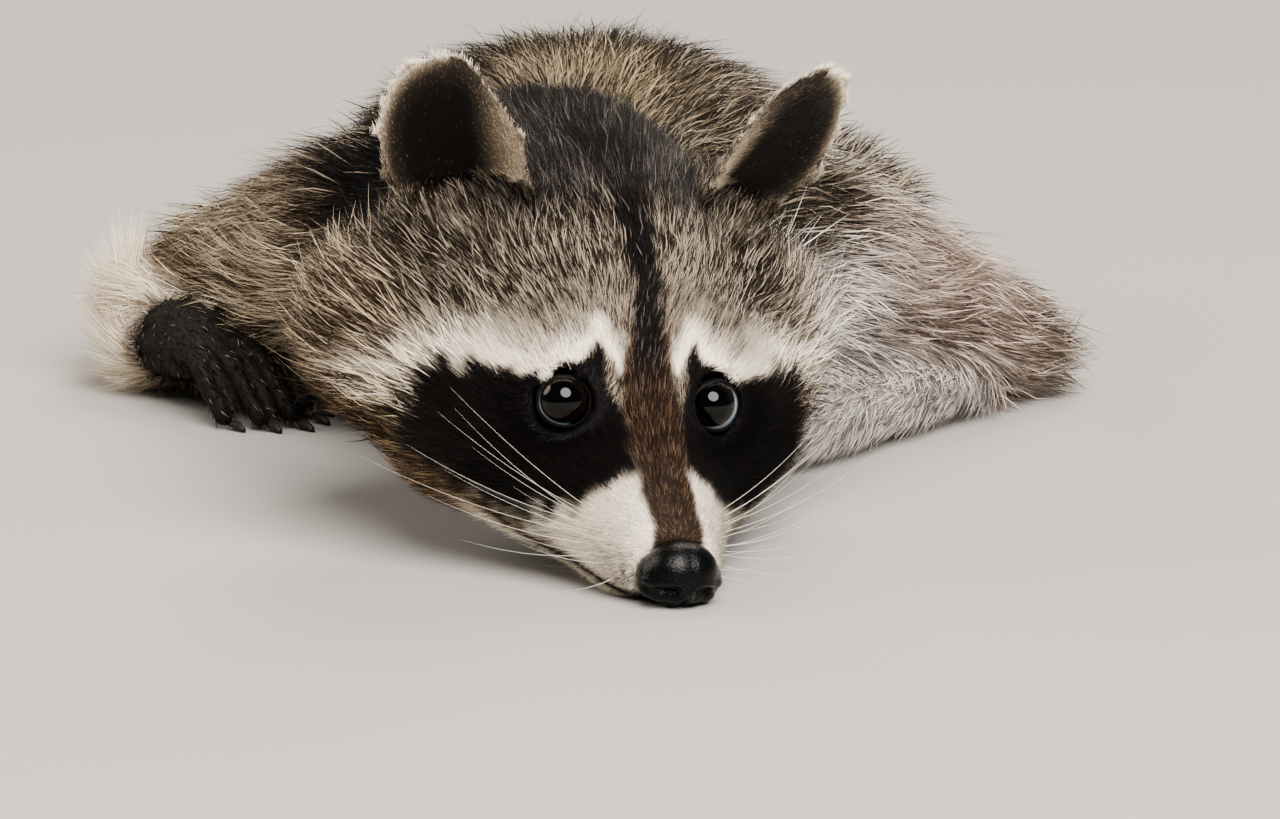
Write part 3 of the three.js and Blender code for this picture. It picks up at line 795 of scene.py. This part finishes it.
def makeSkin():
    shape = bmesh.new()
    for side in "rl":
        lidRing(shape, side)
    bmesh.ops.recalc_face_normals(shape, faces=shape.faces)
    lids = finishedMesh(shape, "lids")
    storeColour(skinMesh, "markingsAndShade", skinColours())
    storeColour(lids, "markingsAndShade", np.tile(tones["black"] * 0.2, (len(lids.vertices), 1)))
    shape = bmesh.new()
    shape.from_mesh(skinMesh)
    shape.from_mesh(lids)
    piece = newPiece("skin", finishedMesh(shape, "skin"), skinMaterial())
    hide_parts(*fleshNodes)


makeSkin()
print("skin is finished")


# eyes
def eyeMaterial():
    material, tree = newMaterial("wetEye")  # clear wet cornea over a nearly black iris
    place = addNode(tree, "Attribute", {"attribute_name": "fromPupil"})
    white = addNode(tree, "Attribute", {"attribute_name": "whiteAndReflection"})
    _, spread = mottle(tree, eyeLook["threads"], -0.04, 0.04)
    where = addNode(tree, "Math", {"operation": "ADD"}, {0: place.outputs["Fac"], 1: spread})
    ramp = addNode(tree, "ValToRGB", inputs={"Fac": where})
    stops = [(0.0, "#010101"), (0.4, "#010101"), (0.46, "#080403"), (0.6, "#0c0604"), (0.66, "#030202"),
             (1.0, "#020202")]
    while len(ramp.color_ramp.elements) < len(stops):
        ramp.color_ramp.elements.new(1.0)
    for element, (position, code) in zip(ramp.color_ramp.elements, stops):
        element.position = position
        element.color = rgba(code)
    # the pale rim: the eye's white and a painted reflection of the wet lid
    rim = addNode(tree, "Mix", {"data_type": "RGBA"}, {
        0: white.outputs["Fac"], 6: ramp, 7: rgba(eyeLook["white"])})
    shader = addNode(tree, "BsdfPrincipled", inputs={
        "Base Color": rim.outputs[2], "Roughness": 0.03, "IOR": 1.37, "Specular IOR Level": 0.3})
    addNode(tree, "OutputMaterial", inputs={"Surface": shader})
    return material


def makeEye(side, material):
    centre, across, up, ahead = eyeFrame(side)
    gaze = unit(np.array(eyeLook["gaze"]))
    shape = bmesh.new()
    bmesh.ops.create_uvsphere(shape, u_segments=96, v_segments=64, radius=1.0)
    turn = Vector(gaze).to_track_quat("Z", "Y").to_matrix()
    for v in shape.verts:
        v.co = turn @ v.co
    mesh = finishedMesh(shape, "eye")
    ways = readPoints(mesh)
    angle = np.arccos(np.clip(ways @ gaze, -1, 1))
    outLow = unit(across * 0.75 - up * 0.65)  # partly the eye's white, partly a painted reflection of the wet lid, only along the outer and lower lid
    around = unit(ways - gaze * (ways @ gaze)[:, None])
    white = step(np.degrees(angle), 58, 61) * step(around @ outLow, 0.2, 0.7)
    reach = eyeLook["radius"] + eyeLook["bulge"] * np.exp(-(angle / 0.75) ** 2)
    writePoints(mesh, fromHead(centre + ways * reach[:, None]))
    for name, values in (("fromPupil", angle / (math.pi / 2)), ("whiteAndReflection", white)):
        layer = mesh.attributes.new(name, "FLOAT", "POINT")
        layer.data.foreach_set("value", values.astype(np.float32))
    piece = newPiece("eyeball_" + side, mesh, material)
    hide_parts("eye_" + side)


wetEye = eyeMaterial()
for side in "rl":
    makeEye(side, wetEye)
print("eyes are set")


# the coat
# short: straight tufts of 4 faces, long: bent ones of 10; wide is half the width at the root, in mm
coatPieces = {
    "muzzle": {"short": 25000, "long": 0, "wide": 0.16, "reach": 1.0, "clump": 0.05},
    "face_r": {"short": 40000, "long": 0, "wide": 0.2, "reach": 1.2, "clump": 0.15},
    "face_l": {"short": 32000, "long": 0, "wide": 0.2, "reach": 1.2, "clump": 0.15},
    "crown": {"short": 29000, "long": 2500, "wide": 0.2, "reach": 1.1, "clump": 0.25},
    "ruff_r": {"short": 20000, "long": 7000, "wide": 0.27, "reach": 1.15, "clump": 0.3},
    "ruff_l": {"short": 20000, "long": 7000, "wide": 0.27, "reach": 1.15, "clump": 0.3},
    "ears": {"short": 25000, "long": 0, "wide": 0.12, "reach": 1.0, "clump": 0.0},
    "shoulder_r": {"short": 20000, "long": 5000, "wide": 0.28, "reach": 1.0, "clump": 0.3},
    "shoulder_l": {"short": 18000, "long": 5000, "wide": 0.31, "reach": 1.0, "clump": 0.3},
    "side_r": {"short": 7000, "long": 1800, "wide": 0.58, "reach": 1.0, "clump": 0.3},
    "side_l": {"short": 7000, "long": 1800, "wide": 0.58, "reach": 1.0, "clump": 0.3},
    "rump": {"short": 7000, "long": 2000, "wide": 0.62, "reach": 1.0, "clump": 0.3},
    "tail": {"short": 9000, "long": 2000, "wide": 0.5, "reach": 1.0, "clump": 0.3},
    "fringe": {"short": 4000, "long": 3400, "wide": 0.24, "reach": 1.1, "clump": 0.45},
    "feet": {"short": 8000, "long": 0, "wide": 0.26, "reach": 1.0, "clump": 0.1},
    "paws": {"short": 10000, "long": 0, "wide": 0.27, "reach": 1.0, "clump": 0.1},
}
coatLook = {
    "spread": 12.0,  # degrees that the lie wanders from tuft to tuft
    "flow": 14.0,  # and from place to place
    "flowSize": 34.0,
    "shortReach": 0.8,  # the straight tufts' length against the long ones'
    # painted shade darkens each tuft's root, less where the hair is white; painted light brightens its tip
    "rootShade": 0.42, "tipShade": 1.12, "whiteRootShade": 0.8,
    "blackTips": 0.22,
    "lockContrast": 0.3, "lockSize": 3.85,  # mm
    "patch": 0.003,  # a tuft's size on the map of its part
    "flat": 0.5,  # a tuft's thickness against its width
    "rooted": 0.6, "offFloor": 0.3, "overhang": 18.5,  # mm: into the skin, over the floor, past the sides
    "strays": 0.04,  # share of finer, longer tufts that stand up
    "seen": 0.6,  # how far along a tuft its markings are read, where it shows
}


def regionNames(points, local, weights):
    far = np.linalg.norm(local - noseTip, axis=1)
    x, y, z = toBody(points).T
    names = np.where(x < 0, "shoulder_r", "shoulder_l").astype("<U12")
    names[y > -40] = "side_r"
    names[(y > -40) & (x > 0)] = "side_l"
    names[y > 75] = "rump"
    names[weights["tail"] > 0.5] = "tail"
    names[weights["leg"] + weights["foot"] + weights["hand"] > 0.5] = "paws"
    names[(weights["leg"] > 0.5) & (x < -100) & (y < 10)] = "fringe"
    names[weights["foot"] > 0.5] = "feet"
    head = weights["head"] > 0.5
    names[head] = np.where(local[head, 0] < 0, "ruff_r", "ruff_l")
    names[head & (local[:, 2] > 12) & (np.abs(local[:, 0]) < 46) & (local[:, 1] > 40)] = "crown"
    front = head & (far < 92) & (np.abs(local[:, 0]) < 64) & (names != "crown")
    names[front] = np.where(local[front, 0] < 0, "face_r", "face_l")
    names[head & (far < 40)] = "muzzle"
    names[(weights["ear_r"] > 0.5) | (weights["ear_l"] > 0.5)] = "ears"
    return names


def unwrap(points, faces):  # its own 0 to 1 map of that part of the skin
    used, numbers = np.unique(faces, return_inverse=True)
    mesh = bpy.data.meshes.new("unwrap")
    mesh.from_pydata(points[used].tolist(), [], numbers.reshape(-1, 3).tolist())
    helper = placeObject("unwrap", mesh)
    bpy.context.view_layer.objects.active = helper
    helper.select_set(True)
    bpy.ops.object.mode_set(mode="EDIT")
    bpy.ops.mesh.select_all(action="SELECT")
    bpy.ops.uv.smart_project(angle_limit=math.radians(70), island_margin=0.004)
    bpy.ops.object.mode_set(mode="OBJECT")
    found = np.empty(len(mesh.loops) * 2)
    mesh.uv_layers.active.data.foreach_get("uv", found)
    bpy.data.objects.remove(helper)
    bpy.data.meshes.remove(mesh)
    return found.reshape(-1, 3, 2)


def scatter(points, faces, count, draw):  # evenly by area, as face number and place in it
    a, b, c = (points[faces[:, i]] for i in range(3))
    total = np.cumsum(np.linalg.norm(np.cross(b - a, c - a), axis=1))
    picks = np.searchsorted(total, (np.arange(count) + draw.uniform(0, 1, count)) / count * total[-1])
    picks = np.minimum(picks, len(faces) - 1)
    u, v = draw.uniform(0, 1, (2, count))
    flip = u + v > 1
    u, v = np.where(flip, 1 - u, u), np.where(flip, 1 - v, v)
    return picks, np.stack([1 - u - v, u, v], 1)


def gather(tips, roots, spacing, pull, draw):  # the tips of neighbours are drawn together into locks
    count = max(int(len(roots) / spacing), 1)
    leaders = draw.choice(len(roots), count, replace=False)
    tree = KDTree(count)
    for number, leader in enumerate(leaders):
        tree.insert(roots[leader], number)
    tree.balance()
    follow = leaders[np.array([tree.find(r)[1] for r in roots])]
    strength = np.clip(pull * draw.uniform(0.2, 1.6, len(roots))[follow], 0, 0.85)[:, None]
    return tips + (tips[follow] - tips) * strength


def tuftArrays(spine, across, wide, colours, patches):  # corners, faces, corner colours and face maps
    count, rings = len(across), len(spine) - 1
    angles = np.radians([90, 210, 330])
    layers = []
    for number in range(rings):
        ahead = unit(spine[number + 1] - spine[max(number - 1, 0)])
        side = unit(across - ahead * np.sum(across * ahead, 1, keepdims=True))
        rise = np.cross(ahead, side) * coatLook["flat"]
        reach = (wide * (1 - 0.25 * number))[:, None]
        layers += [spine[number] + (side * math.cos(t) + rise * math.sin(t)) * reach for t in angles]
    corners = np.stack(layers + [spine[-1]], 1)
    corners[..., 2] = np.maximum(corners[..., 2], coatLook["offFloor"] * mm)
    faces = [(0, 2, 1)]
    for number in range(rings - 1):
        for i, j in ((0, 1), (1, 2), (2, 0)):
            low, high = number * 3, number * 3 + 3
            faces += [(low + i, low + j, high + j), (low + i, high + j, high + i)]
    top = rings * 3 - 3
    faces += [(top + i, top + j, rings * 3) for i, j in ((0, 1), (1, 2), (2, 0))]
    faces = np.array(faces)
    size = corners.shape[1]
    everyFace = (faces[None] + (np.arange(count) * size)[:, None, None]).reshape(-1, 3)
    shades = np.repeat(np.stack(colours, 1), [3] * rings + [1], axis=1).reshape(-1, 3)
    rounds = [(math.cos(t) * r, math.sin(t) * r) for r in np.linspace(0.5, 0.25, rings) for t in angles]
    flat = np.array(rounds + [(0, 0)])[faces]
    flat[0] = (0.47, 0.47) + flat[0] * 0.05  # the hidden end stays clear of the rest
    layout = patches[:, None, None] + flat[None] * coatLook["patch"]
    return corners.reshape(-1, 3), everyFace, shades, np.clip(layout, 0, 1).reshape(-1, 2)


def coatMesh(name, parts):  # the short and the long tufts as one mesh
    starts = np.cumsum([0] + [len(part[0]) for part in parts])
    corners = np.concatenate([part[0] for part in parts])
    faces = np.concatenate([part[1] + start for part, start in zip(parts, starts)])
    mesh = bpy.data.meshes.new(name)
    mesh.vertices.add(len(corners))
    mesh.vertices.foreach_set("co", corners.astype(np.float32).ravel())
    mesh.loops.add(faces.size)
    mesh.loops.foreach_set("vertex_index", faces.astype(np.int32).ravel())
    mesh.polygons.add(len(faces))
    mesh.polygons.foreach_set("loop_start", np.arange(0, faces.size, 3, dtype=np.int32))
    mesh.update(calc_edges=True)
    storeColour(mesh, "markingsAndShade", np.concatenate([part[2] for part in parts]))
    layer = mesh.uv_layers.new(name="OFBake")
    layer.data.foreach_set("uv", np.concatenate([part[3] for part in parts]).astype(np.float32).ravel())
    return mesh


middleX = (cadBox[0].x + cadBox[1].x) / 2
sideRoom = (cadBox[1].x - cadBox[0].x) / 2 + coatLook["overhang"] * mm


def partHair(roots, lie, length):  # hair parts round the eyes and stays off the eyeballs
    local, flow = toHead(roots), lie @ headAxes
    keep = np.ones(len(roots), bool)
    for side in "rl":
        _, level, aside, past = roundEye(local, side)
        near = np.exp(-(np.maximum(past - 1, 0) / eyeLook["parting"]) ** 2) * (level > -6)
        flow = unit(flow + unit(aside) * (near * 1.7)[:, None])
        length = length * (1 - 0.55 * near)
        keep &= (past > eyeLook["bare"]) | (level < -2)
    return flow @ headAxes.T, length, keep


def tufts(name, kind, faces, unwrapped, draw):
    look = coatPieces[name]
    picks, shares = scatter(skinPoints, faces, look[kind], draw)
    corners = faces[picks]

    def at(values):
        return np.einsum("ij,ij...->i...", shares, values[corners])

    roots, normals, design = at(skinPoints), unit(at(skinNormals)), at(plan)
    placed = {key: at(value) for key, value in weights.items()}
    patches = np.einsum("ij,ijk->ik", shares, unwrapped[picks])
    count = len(roots)
    length = design[:, 0] * look["reach"] * draw.uniform(0.72, 1.12, count)
    if kind == "short" and look["long"]:
        length *= coatLook["shortReach"]
    lie, length, keep = partHair(roots, design[:, 3:], length)
    lie = unit(lie - normals * np.sum(lie * normals, 1, keepdims=True) + 1e-6)
    side = np.cross(normals, lie)
    turn = np.radians(draw.normal(0, coatLook["spread"], count) + waves(roots / mm, coatLook["flowSize"], 21)
                      * coatLook["flow"] * np.clip(design[:, 0] / 20, 0.3, 1))
    lie, side = (lie * np.cos(turn)[:, None] + side * np.sin(turn)[:, None],
                 side * np.cos(turn)[:, None] - lie * np.sin(turn)[:, None])
    lift = np.radians(np.clip(design[:, 2] + draw.normal(0, 4, count) + waves(roots / mm, 26, 8) * 3, 4, 60))
    stray = draw.uniform(0, 1, count) < (0 if name == "ears" else coatLook["strays"])
    length = np.where(stray, length * 1.2, length) * mm
    lift = np.where(stray, lift * 1.3, lift)
    wide = look["wide"] * mm * draw.uniform(0.6, 1.35, count) * np.where(stray, 0.5, 1)
    tint = markingsAndShade(roots + lie * (length * coatLook["seen"])[:, None], normals, placed)
    start = roots - normals * coatLook["rooted"] * mm

    def grow(base, angle, reach):
        return base + (lie * np.cos(angle)[:, None] + normals * np.sin(angle)[:, None]) * reach[:, None]

    if kind == "short":
        tips = grow(roots, lift, length)
        spine = [start, gather(tips, roots, 9, look["clump"], draw)]
    else:
        middle = grow(roots, lift * 1.3, length / 2)
        tips = grow(middle, lift * 0.5, length / 2)
        bend = (draw.normal(0, 0.08, count) * length)[:, None] * side
        gathered = gather(tips, roots, 12, look["clump"], draw)
        spine = [start, middle + (gathered - tips) * 0.35, gathered + bend]
    for row in spine[1:]:  # what would stand out too far folds back
        over = np.abs(row[:, 0] - middleX) - sideRoom
        row[:, 0] -= np.sign(row[:, 0] - middleX) * np.maximum(over, 0) * draw.uniform(1, 1.5, count)
    locks = waves(roots / mm, 7, 31, 12) * coatLook["lockContrast"] * np.clip(design[:, 0] / 12, 0.2, 1.4)
    pale = draw.uniform(0, 1, count) < tint.share + locks * tint.share * (1 - tint.share) * 4
    vary = np.exp(draw.normal(0, 0.17, count))[:, None]
    hair = np.where(pale[:, None], tint.pale, tint.dark) * vary
    # painted shade at the roots of the tufts, painted light at their tips
    shadedRoots = mix(tint.dark, tint.pale, np.clip(tint.share, 0, 1))
    shadedRoots *= mix(coatLook["rootShade"], coatLook["whiteRootShade"], step(tint.share, 0.84, 0.96))[:, None]
    end = hair * coatLook["tipShade"]
    if kind == "short":
        colours = [mix(shadedRoots, hair, np.full(count, 0.5)), end]
    else:
        inked = (draw.uniform(0, 1, count) < coatLook["blackTips"]) & (tint.share < 0.8)
        colours = [shadedRoots, hair, np.where(inked[:, None], tint.dark, end)]
    spine, colours = [row[keep] for row in spine], [row[keep] for row in colours]
    return tuftArrays(spine, side[keep], wide[keep], colours, patches[keep])


def growCoat(name, material):
    draw = np.random.default_rng(sum(map(ord, name)))
    faces = skinFaces[faceRegions == name]
    unwrapped = unwrap(skinPoints, faces)
    kinds = [kind for kind in ("short", "long") if coatPieces[name][kind]]
    mesh = coatMesh(name, [tufts(name, kind, faces, unwrapped, draw) for kind in kinds])
    newPiece("coat_" + name, mesh, material)
    return len(mesh.polygons)


def coatMaterial():
    material, tree = newMaterial("raccoonFur")  # keratin hair: soft gloss along the strands
    colour = addNode(tree, "Attribute", {"attribute_name": "markingsAndShade"})
    _, tone = mottle(tree, coatLook["lockSize"], 0.8, 1.2)
    mixed = addNode(tree, "VectorMath", {"operation": "SCALE"}, {0: colour.outputs["Color"], "Scale": tone})
    shader = addNode(tree, "BsdfPrincipled", inputs={
        "Base Color": mixed, "Roughness": 0.62, "Specular IOR Level": 0.07})
    addNode(tree, "OutputMaterial", inputs={"Surface": shader})
    return material


skinFaces = np.empty(len(skinMesh.polygons) * 3, dtype=np.int64)
skinMesh.loops.foreach_get("vertex_index", skinFaces)
skinFaces = skinFaces.reshape(-1, 3)
middles = skinPoints[skinFaces].mean(1)
faceRegions = regionNames(middles, toHead(middles), {k: v[skinFaces].mean(1) for k, v in weights.items()})
slots = dict.fromkeys(("muzzle", "face_r", "face_l", "crown", "ruff_r", "ruff_l"), "face_coat")
slots |= dict.fromkeys(("paws", "feet", "fringe"), "leg_coat")
slots |= {"ears": "ear_coat", "tail": "tail_coat"}
fur = coatMaterial()
coatTris = {}
for name in coatPieces:
    coatTris[name] = growCoat(name, fur)
print("coat:", sum(coatTris.values()), "triangles,", coatTris)


# nose
noseLook = {
    "voxel": 0.5, "smoothing": 8, "pebble": 0.8, "grain": 0.42, "pebbleDepth": 0.3,  # mm
    "philtrum": 0.9, "nostril": 3.2, "colour": "#030303",
}
noseParts = [  # centre in the head's frame and radii, in mm
    ((0.0, -59.0, -21.0), (11.2, 9.6, 9.2)),
    ((0.0, -57.5, -26.0), (8.6, 8.6, 7.0)),
    ((-6.4, -58.5, -23.0), (6.2, 7.6, 6.8)),
    ((6.4, -58.5, -23.0), (6.2, 7.6, 6.8)),
]


def noseMaterial():
    material, tree = newMaterial("wetNoseLeather")  # bare pebbled skin, wet
    place = addNode(tree, "TexCoord")
    cells = addNode(tree, "TexVoronoi", {"feature": "SMOOTH_F1"}, {
        "Vector": place.outputs["Object"], "Scale": 1 / (noseLook["pebble"] * mm), "Smoothness": 0.5})
    grain, polish = mottle(tree, noseLook["grain"], 0.22, 0.34)
    tall = addNode(tree, "Math", {"operation": "ADD"}, {0: cells.outputs["Distance"], 1: grain})
    bump = addNode(tree, "Bump", {"invert": True}, {
        "Height": tall, "Strength": 0.3, "Distance": noseLook["pebbleDepth"] * mm})
    shader = addNode(tree, "BsdfPrincipled", inputs={
        "Base Color": rgba(noseLook["colour"]), "Roughness": polish, "Specular IOR Level": 0.12,
        "Normal": bump})
    addNode(tree, "OutputMaterial", inputs={"Surface": shader})
    return material


def makeNose():
    shape = bmesh.new()
    for centre, radii in noseParts:
        made = bmesh.ops.create_uvsphere(shape, u_segments=48, v_segments=32, radius=1.0)["verts"]
        for v in made:
            v.co = Vector(fromHead(np.array(v.co) * radii + centre))
    joined = evenSurface(finishedMesh(shape, "joined"), noseLook["voxel"])
    shape = bmesh.new()
    shape.from_mesh(joined)
    smooth(shape, shape.verts, noseLook["smoothing"])
    mesh = finishedMesh(shape, "nose")
    points, normals = readPoints(mesh), readNormals(mesh)
    local = toHead(points)
    x, y, z = local.T
    front = step(y, -58, -64)
    grow = -noseLook["philtrum"] * np.exp(-(x / 0.7) ** 2) * front * step(z, -21, -25)
    grow -= 0.35 * np.exp(-(x / 2.2) ** 2) * front * step(z, -24, -20)
    for flip in (-1, 1):  # each nostril opens in front and runs back along the side as a slit
        start = np.array((4.3 * flip, -68.5, -22.5))
        slit = np.array((6.7 * flip, 6.5, -2.0))
        along = np.clip((local - start) @ slit / (slit @ slit), 0, 1)
        far = np.linalg.norm(local - start - along[:, None] * slit, axis=1)
        wide = 2.1 - 1.1 * along
        grow -= noseLook["nostril"] * np.exp(-(far / wide) ** 2) * (1 - 0.45 * along)
        grow += 0.5 * np.exp(-((far - wide - 1.4) / 1.0) ** 2)
    points += normals * grow[:, None] * mm
    points[:, 2] = np.maximum(points[:, 2], 0.2 * mm)
    writePoints(mesh, points)
    piece = newPiece("noseLeather", mesh, noseMaterial())
    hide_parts("nose")


makeNose()
print("nose is set")


# claws
clawLook = {
    "voxel": 0.4, "smoothing": 3, "streak": 0.5, "streakDepth": 0.2,  # mm
    "root": "#0a0806", "tip": "#221b16",
}


def clawMaterial():
    material, tree = newMaterial("clawHorn")  # horn worn smooth by walking, with fine streaks along it
    place = addNode(tree, "TexCoord")
    grain = addNode(tree, "TexNoise", inputs={
        "Vector": place.outputs["Object"], "Scale": 1 / (clawLook["streak"] * mm), "Detail": 3.0,
        "Distortion": 0.6})
    ramp = addNode(tree, "ValToRGB", inputs={"Fac": grain})
    ramp.color_ramp.elements[0].color = rgba(clawLook["root"])
    ramp.color_ramp.elements[1].color = rgba(clawLook["tip"])
    bump = addNode(tree, "Bump", inputs={
        "Height": grain, "Strength": 0.2, "Distance": clawLook["streakDepth"] * mm})
    shader = addNode(tree, "BsdfPrincipled", inputs={
        "Base Color": ramp, "Roughness": 0.4, "Specular IOR Level": 0.14, "Normal": bump})
    addNode(tree, "OutputMaterial", inputs={"Surface": shader})
    return material


def makeClaws():
    names = [n for n in nodes if n.startswith("claw")]
    horn = clawMaterial()
    for limb in sorted({n.rsplit("_", 1)[0] for n in names}):
        group = [n for n in names if n.rsplit("_", 1)[0] == limb]
        shape = bmesh.new()
        shape.from_mesh(closedCopy(group, clawLook["voxel"]))
        smooth(shape, shape.verts, clawLook["smoothing"])
        piece = newPiece("horn_" + limb, finishedMesh(shape, limb), horn)
        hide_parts(*group)
    return len(names)


print("claws:", makeClaws())


# whiskers
whiskerLook = {
    "rows": 4, "perRow": 5, "short": 20, "long": 58, "thick": 0.068, "segments": 12, "sides": 5,  # mm
    "white": "#e4ddd0", "darkShare": 0.16, "brow": 5, "chin": 5,
}


def hairTubes(paths, thick):  # paths: hairs x points x 3, each a tapered round hair with closed ends
    count, length = paths.shape[:2]
    sides = whiskerLook["sides"]
    ahead = unit(np.gradient(paths, axis=1))
    across = unit(np.cross(ahead, np.array((0.31, 0.2, 0.93))))
    rise = np.cross(ahead, across)
    turn = np.arange(sides) / sides * 2 * math.pi
    taper = (1 - np.linspace(0, 1, length) ** 1.6 * 0.86) * thick
    ring = across[:, :, None] * np.cos(turn)[:, None] + rise[:, :, None] * np.sin(turn)[:, None]
    corners = paths[:, :, None] + ring * taper[None, :, None, None]
    faces = []
    for k in range(length - 1):
        for i in range(sides):
            j = (i + 1) % sides
            faces.append((k * sides + i, k * sides + j, (k + 1) * sides + j, (k + 1) * sides + i))
    ends = [tuple(range(sides))[::-1], tuple((length - 1) * sides + i for i in range(sides))]
    corners = corners.reshape(-1, 3)
    allFaces = [tuple(int(number * length * sides + i) for i in face) for number in range(count)
                for face in faces + ends]
    return corners, allFaces


def whiskerPaths():
    draw = np.random.default_rng(5)
    tree = BVHTree.FromPolygons([Vector(p) for p in skinPoints], skinFaces.tolist())
    steps = np.linspace(0, 1, whiskerLook["segments"])
    paths, colours = [], []

    def hair(at, way, curl, length, dark):
        root, normal, _, _ = tree.find_nearest(Vector(fromHead(np.array(at))))
        way = unit(np.array(way) + draw.normal(0, 0.06, 3))
        curl = np.array(curl) + draw.normal(0, 0.05, 3)
        base = toHead(np.array(root) - np.array(normal) * 0.0008)
        run = steps[:, None] * length
        paths.append(fromHead(base + way * run + curl * (steps[:, None] ** 2) * length * 0.5))
        pale = hexColour(whiskerLook["white"]) * draw.uniform(0.75, 1.0)
        colours.append(tones["black"] * 1.6 if dark else pale)

    for flip in (-1, 1):
        for row in range(whiskerLook["rows"]):
            for place in range(whiskerLook["perRow"]):
                back = place / (whiskerLook["perRow"] - 1)
                low = row / (whiskerLook["rows"] - 1)
                ahead, height = draw.normal(0, 0.6), draw.normal(0, 0.4)
                at = (flip * (11 + 8 * back), -48 + 17 * back + ahead, -20 - 8 * low + height)
                way = (flip * (0.95 - 0.15 * low), -0.3 + 0.7 * back, 0.4 - 0.55 * low)
                curl = (0.0, 0.5, 0.2 - 0.1 * low)
                length = whiskerLook["short"] + (whiskerLook["long"] - whiskerLook["short"]) * back ** 0.7
                dark = draw.uniform() < whiskerLook["darkShare"]
                hair(at, way, curl, length * draw.uniform(0.7, 1.1), dark)
        for number in range(whiskerLook["brow"]):
            at = (flip * (20 + number * 2.2), 6 + number, 12)
            way, curl = (flip * 0.25, 0.25, 0.95), (flip * 0.4, 0.6, -0.2)
            hair(at, way, curl, draw.uniform(20, 30), number % 2 == 0)
        for number in range(whiskerLook["chin"]):
            hair((flip * (3 + number * 2), -36 + number * 3, -38), (flip * 0.35, 0.5, -0.55), (0, 0.4, 0.3),
                 draw.uniform(12, 22), False)
    paths = np.array(paths)
    paths[..., 2] = np.maximum(paths[..., 2], 0.0006)
    return paths, np.array(colours)


def makeWhiskers():
    paths, colours = whiskerPaths()
    corners, faces = hairTubes(paths, whiskerLook["thick"] * mm)
    mesh = bpy.data.meshes.new("whiskers")
    mesh.from_pydata(corners.tolist(), [], faces)
    storeColour(mesh, "markingsAndShade", np.repeat(colours, len(corners) // len(paths), axis=0))
    material, tree = newMaterial("whiskerHair")  # stiff clear bristle, glossier than the coat
    colour = addNode(tree, "Attribute", {"attribute_name": "markingsAndShade"})
    shader = addNode(tree, "BsdfPrincipled", inputs={
        "Base Color": colour.outputs["Color"], "Roughness": 0.32})
    addNode(tree, "OutputMaterial", inputs={"Surface": shader})
    newPiece("whiskers", mesh, material)
    return len(paths)


print("whiskers:", makeWhiskers())
